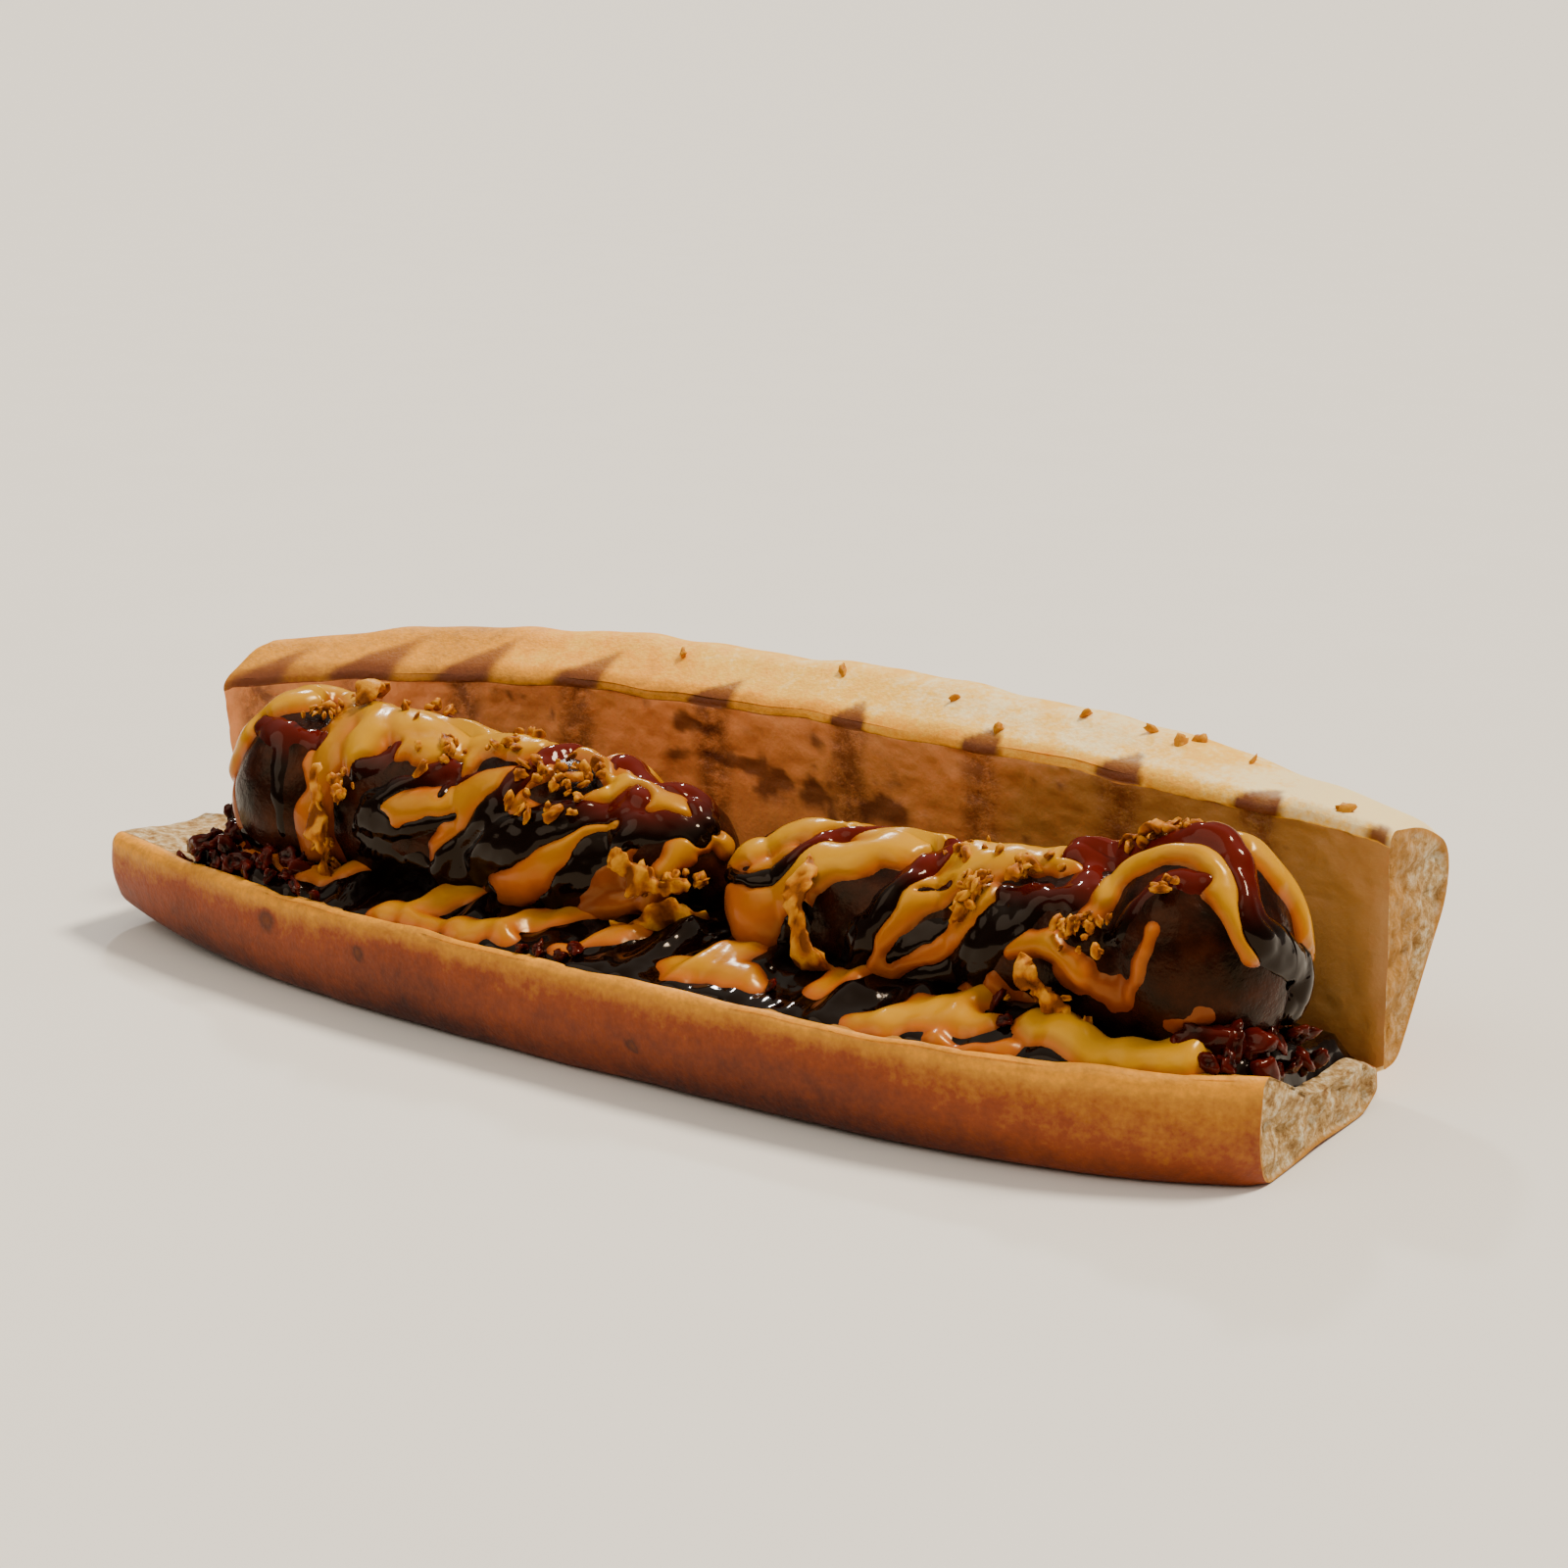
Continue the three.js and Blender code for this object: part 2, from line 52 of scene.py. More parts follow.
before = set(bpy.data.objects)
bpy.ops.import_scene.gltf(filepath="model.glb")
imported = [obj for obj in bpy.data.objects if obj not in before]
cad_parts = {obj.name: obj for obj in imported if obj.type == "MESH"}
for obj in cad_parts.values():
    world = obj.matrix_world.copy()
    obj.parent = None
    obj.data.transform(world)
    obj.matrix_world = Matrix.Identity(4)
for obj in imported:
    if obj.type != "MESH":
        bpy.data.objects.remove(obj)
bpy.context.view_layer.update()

MM = 0.001
# The most triangles that one piece may have, and how close points are merged, in mm
MOST_TRIANGLES, MERGE = 200_000, 0.02
ROLL_LOW, ROLL_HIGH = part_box("bun_lower")
HALF_LENGTH = (ROLL_HIGH[0] - ROLL_LOW[0]) / 2 / MM

# The roll: each size is given at its left end, middle and right end
LOWER_FRONT = (-38.4, -52.4, -31.4)
LOWER_BACK = (-0.6, 22.2, 18.2)
LOWER_LIP, LOWER_FLOOR, LOWER_HINGE, LOWER_SLOPE = 20.5, 11.0, 7.5, 21.0
LOWER_RISE, RISE_FROM = 4.6, 0.5
UNPRESSED_FROM, UNPRESSED_TO, UNPRESSED_RISE = -104.0, -119.0, 7.5
UPPER_FOOT = (0.6, 23.1, 19.1)
UPPER_FOOT_HEIGHT = (7.0, 0.0, 5.0)
UPPER_FACE_TOP = (46.5, 54.0, 50.6)
UPPER_CROWN = (54.2, 62.4, 49.2)
UPPER_THICKNESS = (25.0, 30.0, 26.0)
UPPER_LEAN = 4.0

# The filling: MEAT_GRID is the spacing of the bare sausages' mesh
RADIUS = 17.5
SAUSAGES = {"sausage_left": (-102.0, 13.0), "sausage_right": (17.0, 125.3)}
BETWEEN_SAUSAGES, MEAT_GRID = 15, 1.2
FILLING_Y, FILLING_SKEW, FILLING_UNDERSIDE = -16.4, 0.03, 12.6
BULGE_PITCH, BULGE_FIRST = 35.0, -82.0
SLASH_DEPTH, SLASH_SLANT, SLASH_SHARPNESS = 3.2, 11.0, 1.6
BULGE_LIFT = np.array([4.4, 2.7, 1.2, -1.8, -4.8, -3.6, 4.8])

# The sauces: how deep a rim is sunk into what it lies on, and the thickness at which cheese shows its full
# colour on the sausages and on the pool
SINK = 0.3
CHEESE_FULL, POOL_CHEESE_FULL = 2.4, 2.0

# The pool: where it begins and ends, over how much it thins out there, the levels across it, and how many
# times the sauce's spacing its mesh has
POOL_FROM, POOL_TO = -112.0, 127.5
POOL_THINS_LEFT, POOL_THINS_RIGHT = 12, 3
POOL_INSET, POOL_FRONT, POOL_SIDE, POOL_BACK, POOL_LUMP = 2.2, 20.2, 24.0, 15.0, 1.2
POOL_GRID = 1.3

# Drizzle over the sausages: the places of (x, degrees from the crown) that each ribbon runs over, its half
# width and its thickness. The angle is negative towards the front.
# Painted shade, partly: the thinnest bands, about 1 mm and under, lie low on the fronts and are made thin so
# that they take the brown of thin cheese
CHEESE_RIBBONS = (
    (((-99, -55), (-96, -28), (-90, -2), (-84, 14), (-74, 12)), 4.8, 3.2),
    (((-99, -60), (-97, -85), (-93, -108)), 2.4, 1.0),
    (((-77, 8), (-73, -38), (-72, -64), (-72, -90), (-71, -125)), 5.2, 1.8),
    (((-74, 14), (-67, -16), (-64, -36)), 5.2, 2.8),
    (((-63, -4), (-53, -8), (-46, 0), (-33, -3)), 7.2, 2.4),
    (((-55, -28), (-49, -26), (-42, -24)), 3.6, 2.0),
    (((-29, -39), (-36, -50), (-45, -63), (-52, -71), (-58, -77)), 4.4, 2.0),
    (((-36, -64), (-39, -80), (-41, -100)), 2.8, 1.5),
    (((-24, -60), (-30, -75), (-34, -86)), 1.5, 1.4),
    (((-2, -52), (-9, -63), (-15, -82), (-22, -100), (-33, -124), (-45, -142)), 5.0, 2.2),
    (((0, -104), (-7, -112), (-17, -134)), 2.6, 1.7),
    (((-3, -80), (-5, -98)), 4.4, 0.7),
    (((-28, -4), (-24, 8), (-16, 4), (-9, -8), (-8, -24)), 3.0, 2.2),
    (((-24, -24), (-26, -42), (-20, -54), (-13, -44), (-10, -24)), 2.4, 1.7),
    (((-9, -6), (0, -18), (6, -20)), 3.4, 2.0),
    (((12, 6), (10, -20), (9, -45), (8, -70), (4, -104)), 3.0, 2.5),
    (((20, -40), (25, -26), (30, -10), (38, 8)), 4.6, 2.4),
    (((38, -46), (33, -72), (30, -100), (28, -132)), 7.8, 2.2),
    (((23, -80), (21, -110)), 4.5, 1.4),
    (((62, 2), (53, -10), (47, -32), (40, -44)), 5.0, 2.5),
    (((70, -20), (62, -48), (57, -76), (55, -98), (50, -134)), 4.0, 2.2),
    (((74, -50), (71, -80), (66, -100), (59, -108)), 4.2, 2.0),
    (((40, 4), (48, 0), (58, 8), (66, -4)), 4.4, 2.4),
    (((0, -104), (-1, -130)), 3.0, 1.0),
    (((62, -4), (74, -5), (85, -2)), 6.0, 2.8),
    (((82, -80), (87, -74), (92, -75), (97, -86)), 2.5, 2.4),
    (((94, -84), (99, -90), (104, -94)), 3.2, 0.8),
    (((77, -112), (70, -124), (64, -140)), 4.5, 1.8),
    (((80, -112), (86, -120), (92, -126)), 3.6, 0.9),
    (((97, -38), (98, -24), (104, -18), (112, -15), (117, -24), (120, -34), (122.5, -42)), 3.1, 2.6),
    (((99, -18), (98, -34), (96, -52)), 2.4, 1.3),
    (((109, -58), (108, -72), (105, -94)), 1.6, 1.2),
    (((110, 8), (116, 22), (120, 40), (122.5, 64), (123.5, 100), (123, 130)), 4.6, 3.0),
    (((113, -104), (118, -98)), 3.2, 0.5),
    (((-40, 15), (-34, 60), (-42, 118)), 6.0, 2.3),
    (((-14, 20), (-10, 65), (-18, 118)), 5.0, 2.3),
    (((-88, 15), (-90, 70), (-86, 118)), 5.0, 2.2),
    (((34, 20), (40, 70), (32, 118)), 6.5, 2.3),
    (((72, 30), (76, 75), (70, 118)), 6.0, 2.3),
    (((98, 24), (100, 60), (94, 118)), 5.0, 2.2),
)
# Painted shade, partly: the thin black bands low on the fronts, 0.7 to 1 mm thick, darken the lower fronts
# where the sausages turn under
BARBECUE_RIBBONS = (
    (((-92, -30), (-85, -34), (-78, -30)), 3.2, 1.0),
    (((-84, -44), (-81, -70), (-80, -95)), 1.8, 0.7),
    (((-44, -31), (-50, -48), (-58, -67)), 2.2, 1.4),
    (((-44, -54), (-43, -42), (-37, -33)), 0.9, 0.8),
    (((-24, 20), (-27, -30), (-28, -53), (-33, -70), (-38, -88), (-41, -102)), 2.5, 1.5),
    (((-4, -26), (-11, -44), (-17, -58), (-24, -74), (-32, -92), (-41, -114), (-54, -140)), 3.9, 1.6),
    (((-64, -52), (-58, -42), (-57, -30)), 1.9, 0.8),
    (((-40, -65), (-45, -74), (-51, -82)), 1.6, 0.8),
    (((0, -52), (-7, -71), (-10, -90), (-17, -112), (-24, -138)), 2.8, 1.1),
    (((-56, -86), (-55, -120)), 6.5, 0.7),
    (((-46, -102), (-49, -130)), 5.0, 0.7),
    (((-29, -108), (-33, -122), (-36, -136)), 1.7, 0.7),
    (((-12, 14), (-6, 10), (1, 7), (6, 8), (9, -8)), 3.3, 2.4),
    (((-1, -48), (4, -42), (9, -30)), 3.2, 1.1),
    (((-92, -112), (-80, -122), (-66, -128)), 4.5, 0.8),
    (((20, -66), (27, -66), (32, -50), (36, -28), (40, -8), (47, 14), (56, 24)), 1.9, 1.5),
    (((64, 14), (60, -14), (57, -50), (55, -72), (52, -92), (50, -116)), 2.9, 1.7),
    (((67, -73), (63, -84), (59, -98)), 1.9, 0.7),
    (((61, -52), (67, -41)), 0.9, 0.7),
    (((84, -50), (80, -66), (76, -86), (69, -107), (62, -122), (55, -142)), 3.8, 1.6),
    (((39, -84), (37, -106), (37, -132)), 3.2, 0.8),
    (((51, -94), (49, -118)), 2.4, 0.8),
    (((86, 0), (91, 8), (98, 10), (104, 6), (110, 4), (116, -4)), 4.2, 3.0),
    (((116, -4), (119, -14), (121, -26), (123, -32), (124.7, -10), (124.9, 70), (124.2, 130)), 3.8, 2.2),
    (((78, -43), (85, -45), (91, -42)), 3.0, 1.6),
    (((78, -60), (77, -82), (75, -100)), 3.4, 1.0),
    (((101, -62), (104, -46), (108, -34), (114, -29)), 2.0, 0.9),
    (((91, -34), (90, -10)), 2.8, 1.1),
    (((-60, 20), (-66, 70), (-58, 118)), 3.4, 1.6),
    (((88, 20), (84, 70), (90, 118)), 3.4, 1.6),
    (((20, 30), (24, 75), (18, 118)), 3.4, 1.6),
)

# Cheese that has run on to the pool: the places of (x, y), half width and thickness
POOL_RIBBONS = (
    (((-41, -46), (-31, -45.5), (-22, -45), (-15, -46)), 2.4, 1.5),
    (((-33, -31), (-38, -38), (-46, -47)), 4.2, 1.6),
    (((-8, -31), (-14, -38), (-24, -47)), 3.6, 1.5),
    (((19, -40), (27, -43), (37, -41)), 3.4, 1.5),
    (((29, -31), (28, -37), (24, -44)), 4.6, 1.6),
    (((53, -31), (51, -34), (49, -38)), 3.4, 1.4),
    (((-58, -32), (-66, -38), (-74, -42)), 2.6, 1.2),
    (((6, -34), (2, -40), (-4, -45)), 2.2, 1.2),
    (((78, -30), (70, -38), (62, -45)), 4.4, 1.6),
    (((66, -44), (73, -40), (82, -39)), 4.4, 1.8),
    (((76, -46.5), (84, -46), (90, -42)), 1.8, 1.1),
    (((92, -35), (101, -37), (110, -36), (117, -33)), 4.4, 2.8),
    (((109, -35), (113, -32), (116, -29)), 3.8, 2.8),
    (((-98, -33), (-84, -38), (-70, -43)), 1.8, 0.9),
)

# Larger pieces of fried onion: x, degrees from the crown, heading, length, width and how far they curl up
ONIONS = (
    (43.5, -90, 68, 29, 6.0, 3.0),
    (5, -116, 20, 13, 9.0, 2.0),
    (4, -78, 12, 12, 6.0, 2.0),
    (-68, -88, 85, 22, 5.0, 2.0),
    (-75, 6, 70, 11, 6.0, 3.0),
    (97, 5, 172, 13, 5.5, 1.0),
    (91, -94, 50, 14, 5.0, 1.5),
)

# Groups of small crumbs: x, degrees from the crown, spread in mm and how many
CRUMB_GROUPS = (
    (98, 8, 6, 16), (104, 12, 5, 8), (72, -45, 4, 16), (71, -57, 3, 6), (96, -62, 5, 20),
    (93, -112, 6, 16), (84, -120, 7, 10), (110, -36, 2, 5), (66, -14, 5, 10), (78, -26, 5, 10),
    (8, -80, 6, 18), (6, -118, 5, 10), (-19, -36, 7, 30), (-16, -12, 4, 8), (-45, -20, 6, 14),
    (-34, -12, 5, 8), (-58, 2, 6, 6), (-66, -60, 4, 8), (-68, -104, 4, 8), (-82, -12, 4, 12),
    (-78, 6, 4, 8),
)

# Least and largest radius of a crumb and of a flake
CRUMB_SIZE, FLAKE_SIZE = (0.6, 1.7), (1.1, 1.7)

# Lumps of onion in dark sauce on the pool: x, y and radius. Each stands out of it by a share of its radius,
# and shows a share of the sauce's red.
LUMP_RISE, LUMP_RED = 0.55, 0.7
LUMPS = (
    (115, -31, 2.6), (118, -29, 3.4), (121, -31, 2.4), (122.5, -26, 3.2), (123, -29, 2.2), (124, -22, 3.2),
    (124.5, -15, 3.0), (124.5, -9, 2.6), (121, -19, 2.6), (124, -4, 2.2), (120, -24, 2.2), (112, -34, 1.6),
    (-107, -30, 2.4), (-103, -33, 2.2), (-99, -31, 2.6), (-95, -35, 2.2), (-109, -12, 2.4), (-91, -32, 2.2),
    (-105, -25, 2.8), (-86, -40, 1.6),
    (126, -27, 2.4), (126, -22, 2.8), (126, -17, 2.6), (126.2, -12, 2.8), (126, -7, 2.6), (126, -2, 2.2),
    (-108, -38, 2.2), (-105, -40, 1.8), (-103, -37, 2.6), (-100, -41, 2.0), (-98, -38, 2.4), (-95, -42, 2.0),
    (-93, -40, 2.6), (-90, -43, 2.0), (-87, -41, 2.2), (-84, -44, 1.8), (-81, -42, 2.0), (-77, -45, 1.8),
    (-73, -44, 1.8), (-69, -46, 1.6), (-64, -46, 1.6),
    (-110, -22, 3.0), (-106, -27, 2.4), (-101, -29, 3.2), (-96, -32, 2.4), (-90, -35, 2.8), (-84, -36, 2.2),
    (-78, -38, 2.6), (-113, -17, 2.2), (-72, -41, 2.0), (-2, -47.5, 1.6), (-6, -48, 1.9), (-10, -48.5, 1.5),
    (1, -46.5, 1.7), (86, -38, 1.6), (41, -42, 1.5), (82, -33, 1.8), (-108, -16, 2.4), (-104, -21, 2.8),
    (-99, -25, 2.4), (-93, -28, 2.6), (-87, -30, 2.4), (-112, -27, 1.8), (-81, -33, 2.0), (-75, -37, 2.2),
)

# Where the griddle has marked the edge of the upper half, each mark darker partly as the painted shade of
# its pressed groove: the mark's straight right edge, its length along the roll and its reach over the crust
GRIDDLE_MARKS = (
    (130.0, 5.0, 2.5), (109.0, 10.0, 5.5), (80.5, 10.0, 6.5), (50.5, 9.0, 6.0), (20.0, 8.0, 5.5),
    (-11.5, 11.0, 6.0), (-44.0, 12.0, 9.0), (-70.5, 14.0, 11.0), (-93.5, 15.0, 11.0), (-117.0, 12.0, 9.0),
)

# Sauce splashed on the cut face of the upper half: x, z and how far each splash spreads along and up
SPLASHES = (
    (-21.0, 47.0, 7.0, 2.4), (-12.0, 41.0, 10.0, 1.8), (4.0, 37.0, 12.0, 4.5), (24.0, 36.0, 10.0, 3.0),
)

# Small burst bubbles in the crust of the lower half, painted as darker spots of shade with no dent in the
# mesh: x, z and radius
PITS = ((-74.0, 14.5, 1.5), (-48.0, 13.5, 0.9), (18.0, 9.0, 0.8))

# Flakes of fried onion on the crown of the roll: x, and how far behind the cut edge
FLAKES = ((48, 4), (62, 12), (76, 13), (83, 11), (85, 14), (97, 12), (120, 3), (35, 9), (8, 11), (-30, 10))

# Kinds of surface on the roll, in the order of its materials
CRUST, CRUMB, TOASTED = 0, 1, 2

# Short names of the shader's sockets: "inside" is light that goes in and comes out again
SOCKETS = {
    "roughness": "Roughness", "ior": "IOR", "specular": "Specular IOR Level", "tint": "Specular Tint",
    "inside": "Subsurface Weight", "inside_reach": "Subsurface Radius", "inside_scale": "Subsurface Scale",
}

# The camera's place in metres and its pitch and turn in degrees, its sensor in mm, its shift as a share of
# the picture's width, and the floor's side in metres
CAMERA_PLACE, CAMERA_PITCH, CAMERA_TURN = (0.31648, -0.43588, 0.1896), -17.4, 34.69
CAMERA_SENSOR, CAMERA_SHIFT, FLOOR_SIDE = 36, 0.06875, 60


def linear(colour):
    """An sRGB hex colour as linear red, green, blue and alpha."""
    parts = [int(colour[i : i + 2], 16) / 255 for i in (1, 3, 5)]
    return (*[p / 12.92 if p <= 0.04045 else ((p + 0.055) / 1.055) ** 2.4 for p in parts], 1.0)


def plain(value):
    """A hex colour made linear, or any other value as it is."""
    return linear(value) if isinstance(value, str) else value


# Settings that a user would change


def colour_property(name, description, colour):
    return FloatVectorProperty(
        name=name, description=description, default=linear(colour), size=4, subtype="COLOR", min=0, max=1
    )


class HotDogRollSettings(PropertyGroup):
    grid_mm: FloatProperty(name="Grid", description="Spacing of the roll's mesh in mm", default=1.1, min=0.5)
    # Pale, golden and dark are partly painted light and shade: pale on the lit crown, golden at the lit lip,
    # dark low down in shade. The griddle mark colour also paints the shade of pits and grooves.
    pale: colour_property("Pale crust", "Floury crust on the crown", "#FCE0A0")
    golden: colour_property("Golden crust", "Crust just below the cut edge", "#C4821A")
    brown: colour_property("Brown crust", "Crust of the side", "#8A3A08")
    dark_crust_and_shade: colour_property("Dark crust", "Crust near the underside", "#3E1404")
    crumb: colour_property("Crumb", "Open white crumb of the cut faces", "#CDA566")
    griddled: colour_property("Griddle mark", "Where the griddle has marked the bread", "#703406")


class HotDogFillingSettings(PropertyGroup):
    grid_mm: FloatProperty(name="Grid", description="Spacing of the sauce mesh in mm", default=0.55, min=0.3)
    # The near-black skin colour is partly painted shade
    skin: colour_property("Sausage skin", "Grilled skin of the sausages", "#260B04")
    cheese: colour_property("Cheese sauce", "Thick cheese sauce", "#AC6C00")
    # Thin cheese colour, which also serves as painted shade on cheese that faces down
    cheese_thin_and_shaded: colour_property("Thin cheese", "Cheese sauce where it thins out", "#7A340E")
    barbecue: colour_property("Barbecue sauce", "Thick barbecue sauce", "#090201")
    # Red that serves as painted light on the up-facing tops
    barbecue_red: colour_property("Red barbecue", "Barbecue sauce where light comes through", "#5E0D03")


class HotDogOnionSettings(PropertyGroup):
    crumbs: FloatProperty(name="Crumbs", description="Share of the loose crumbs to make", default=1, min=0)
    golden: colour_property("Golden onion", "Fried onion on its raised folds", "#CC8A1E")
    brown: colour_property("Brown onion", "Fried onion in its folds and edges", "#6E3608")


class HotDogStageSettings(PropertyGroup):
    lens: FloatProperty(name="Lens", description="Focal length", default=66.8, unit="CAMERA")
    key: FloatProperty(name="Key light", description="Strength of the high light from behind", default=4.2)
    fill: FloatProperty(name="Fill light", description="Strength of the soft light in front", default=0.9)
    spark: FloatProperty(name="Spark", description="Strength of the small light behind", default=0.75)
    sky: FloatProperty(name="Room light", description="Strength of the even light from above", default=0.8)
    floor: colour_property("Floor", "Plain pale floor", "#E9E4DC")


# Noise and mesh helpers


def soft_noise(points, size, seed):
    """Smooth repeatable noise from -1 to 1, with features of about the given size."""
    cells = 32
    table = np.random.default_rng(seed).uniform(-1, 1, (cells, cells, cells))
    place = points / size
    cell = np.floor(place).astype(int)
    part = place - cell
    part = part * part * (3 - 2 * part)
    total = np.zeros(points.shape[:-1])
    for corner in np.ndindex(2, 2, 2):
        share = np.prod(np.where(corner, part, 1 - part), axis=-1)
        index = (cell + corner) % cells
        total += share * table[index[..., 0], index[..., 1], index[..., 2]]
    return total


def fractal(points, size, seed, octaves=3):
    """Several sizes of soft noise together, each half the size and strength of the one before."""
    return sum(soft_noise(points, size / 2**k, seed + k) / 2**k for k in range(octaves))


def uneven(x, angle, seed):
    """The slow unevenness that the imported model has, from about -1 to 1."""
    return (
        np.sin(x * 0.11 + seed) * np.cos(angle * 2 + seed * 1.7) * 0.5
        + np.sin(x * 0.23 + angle * 3 + seed * 2.3) * 0.3
        + np.cos(x * 0.41 - angle * 5 + seed * 0.6) * 0.2
    )


def smooth(low, high, value):
    """0 below low, 1 above high, and a smooth rise between."""
    share = np.clip((value - low) / (high - low), 0, 1)
    return share * share * (3 - 2 * share)


def along(size, x, power=3.0):
    """A size that runs from its value at the left end through the middle to the right end."""
    left, middle, right = size
    reach = np.abs(x / HALF_LENGTH) ** power
    return middle + (np.where(x < 0, left, right) - middle) * reach


def grid_faces(rows, columns, wrap):
    """Quads of a grid of points, row by row."""
    last = columns if wrap else columns - 1
    row, column = np.meshgrid(np.arange(rows - 1), np.arange(last), indexing="ij")
    beside = (column + 1) % columns
    quads = np.stack(
        [
            row * columns + column,
            row * columns + beside,
            (row + 1) * columns + beside,
            (row + 1) * columns + column,
        ],
        axis=-1,
    )
    return quads.reshape(-1, 4)


def mesh_object(name, points, faces, materials, kinds=None, values=None, sharp=180):
    """An object from points in mm, with one material for each kind of face and values for its points."""
    faces = np.asarray(faces)
    triangles = len(faces) * (faces.shape[1] - 2)
    if not 0 < triangles < MOST_TRIANGLES or not np.isfinite(points).all():
        raise ValueError(f"{name} can't be made: {triangles} triangles, or points that aren't numbers")
    mesh = bpy.data.meshes.new(name)
    mesh.from_pydata((np.asarray(points).reshape(-1, 3) * MM).tolist(), [], faces.tolist())
    for key, value in (values or {}).items():
        layer = mesh.attributes.new(key, "FLOAT", "POINT")
        layer.data.foreach_set("value", np.asarray(value, dtype=np.float32).ravel())
    if kinds is not None:
        mesh.polygons.foreach_set("material_index", np.asarray(kinds, dtype=np.int32).ravel())
    for material in materials:
        mesh.materials.append(material)
    work = bmesh.new()
    work.from_mesh(mesh)
    bmesh.ops.remove_doubles(work, verts=work.verts, dist=MERGE * MM)
    loose = [v for v in work.verts if not v.link_faces]
    bmesh.ops.delete(work, geom=loose, context="VERTS")
    work.to_mesh(mesh)
    work.free()
    mesh.shade_smooth()
    mesh.set_sharp_from_angle(angle=math.radians(sharp))
    made = bpy.data.objects.new(name, mesh)
    bpy.context.scene.collection.objects.link(made)
    return made


def settle(made, slot, *nodes):
    """The piece rides on the body and stands for the nodes, which it hides. The slot is not used."""
    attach(made, "root")
    if nodes:
        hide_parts(*nodes)


# Material helpers


def add_node(tree, kind, inputs=None, stops=None, **settings):
    """Adds a node with its settings, its sockets' values or links, and a ramp's stops."""
    made = tree.nodes.new(kind)
    for key, value in settings.items():
        setattr(made, key, value)
    for key, value in (inputs or {}).items():
        if isinstance(value, bpy.types.NodeSocket):
            tree.links.new(value, made.inputs[key])
        else:
            made.inputs[key].default_value = value
    if stops:
        ramp = made.color_ramp
        while len(ramp.elements) < len(stops):
            ramp.elements.new(0.5)
        for element, (place, colour) in zip(ramp.elements, stops):
            element.position = place
            element.color = plain(colour)
    return made


def new_material(name):
    """A material, its node tree and the mesh's own coordinates in metres."""
    material = bpy.data.materials.new(name)
    material.use_nodes = True
    tree = material.node_tree
    return material, tree, add_node(tree, "ShaderNodeTexCoord").outputs["Object"]


def ramp_of(tree, value, stops):
    """The colour at a value between stops of (place, colour)."""
    return add_node(tree, "ShaderNodeValToRGB", {"Fac": value}, stops=stops).outputs["Color"]


def noise_at(tree, place, size, detail=3.0, roughness=0.55):
    """Noise from 0 to 1 with features of a size in mm, over coordinates in metres."""
    inputs = {"Vector": place, "Scale": 1 / (size * MM), "Detail": detail, "Roughness": roughness}
    return add_node(tree, "ShaderNodeTexNoise", inputs).outputs["Fac"]


def value_of(tree, key):
    return add_node(tree, "ShaderNodeAttribute", attribute_name=key).outputs["Fac"]


def sum_of(tree, first, second, factor):
    """first + second * factor, where the second is centred on 0.5."""
    centred = add_node(tree, "ShaderNodeMath", {0: second, 1: 0.5}, operation="SUBTRACT").outputs[0]
    inputs = {0: centred, 1: factor, 2: first}
    return add_node(tree, "ShaderNodeMath", inputs, operation="MULTIPLY_ADD").outputs[0]


def mixed(tree, factor, first, second):
    """The first colour mixed with the second: the mix node's sockets are 0, and 6 and 7 for the colours."""
    mix = add_node(tree, "ShaderNodeMix", data_type="RGBA")
    for index, value in ((0, factor), (6, first), (7, second)):
        if isinstance(value, bpy.types.NodeSocket):
            tree.links.new(value, mix.inputs[index])
        else:
            mix.inputs[index].default_value = plain(value)
    return mix.outputs[2]


def bump_of(tree, heights):
    """Bumps one over another: each is (height socket, depth in mm)."""
    normal = None
    for height, depth in heights:
        inputs = {"Height": height, "Distance": depth * MM, "Strength": 1.0}
        if normal is not None:
            inputs["Normal"] = normal
        normal = add_node(tree, "ShaderNodeBump", inputs).outputs["Normal"]
    return normal


def finished(material, colour, heights=(), **values):
    """The material with its colour, its bumps, and its shader's values under the short names of SOCKETS."""
    tree = material.node_tree
    shader = tree.nodes["Principled BSDF"]
    tree.links.new(colour, shader.inputs["Base Color"])
    if heights:
        tree.links.new(bump_of(tree, heights), shader.inputs["Normal"])
    for key, value in values.items():
        shader.inputs[SOCKETS[key]].default_value = plain(value)
    return material


def baked_wheat_crust(settings):
    """Baked wheat crust: floury and pale on the crown, browner where the oven and the griddle reach it; the
    pale crown, golden lip and dark underside are partly painted light and shade.
    """
    material, tree, place = new_material("baked_wheat_crust")
    mottle = sum_of(tree, value_of(tree, "bake"), noise_at(tree, place, 16), 0.2)
    mottle = sum_of(tree, mottle, noise_at(tree, place, 4), 0.2)
    mottle = sum_of(tree, mottle, noise_at(tree, place, 1.1), 0.24)
    stops = (
        (0.02, settings.pale), (0.13, "#FCC244"), (0.26, "#F4A216"), (0.42, settings.golden),
        (0.66, settings.brown), (1.0, settings.dark_crust_and_shade),
    )
    colour = mixed(tree, value_of(tree, "griddle"), ramp_of(tree, mottle, stops), settings.griddled)
    # Fine grain over slow dents
    heights = [(noise_at(tree, place, 5), 0.4), (noise_at(tree, place, 0.8, 2.0), 0.16)]
    return finished(
        material, colour, heights,
        roughness=0.55, specular=0.3, inside=0.06, inside_reach=(1.0, 0.6, 0.3), inside_scale=1.2 * MM,
    )


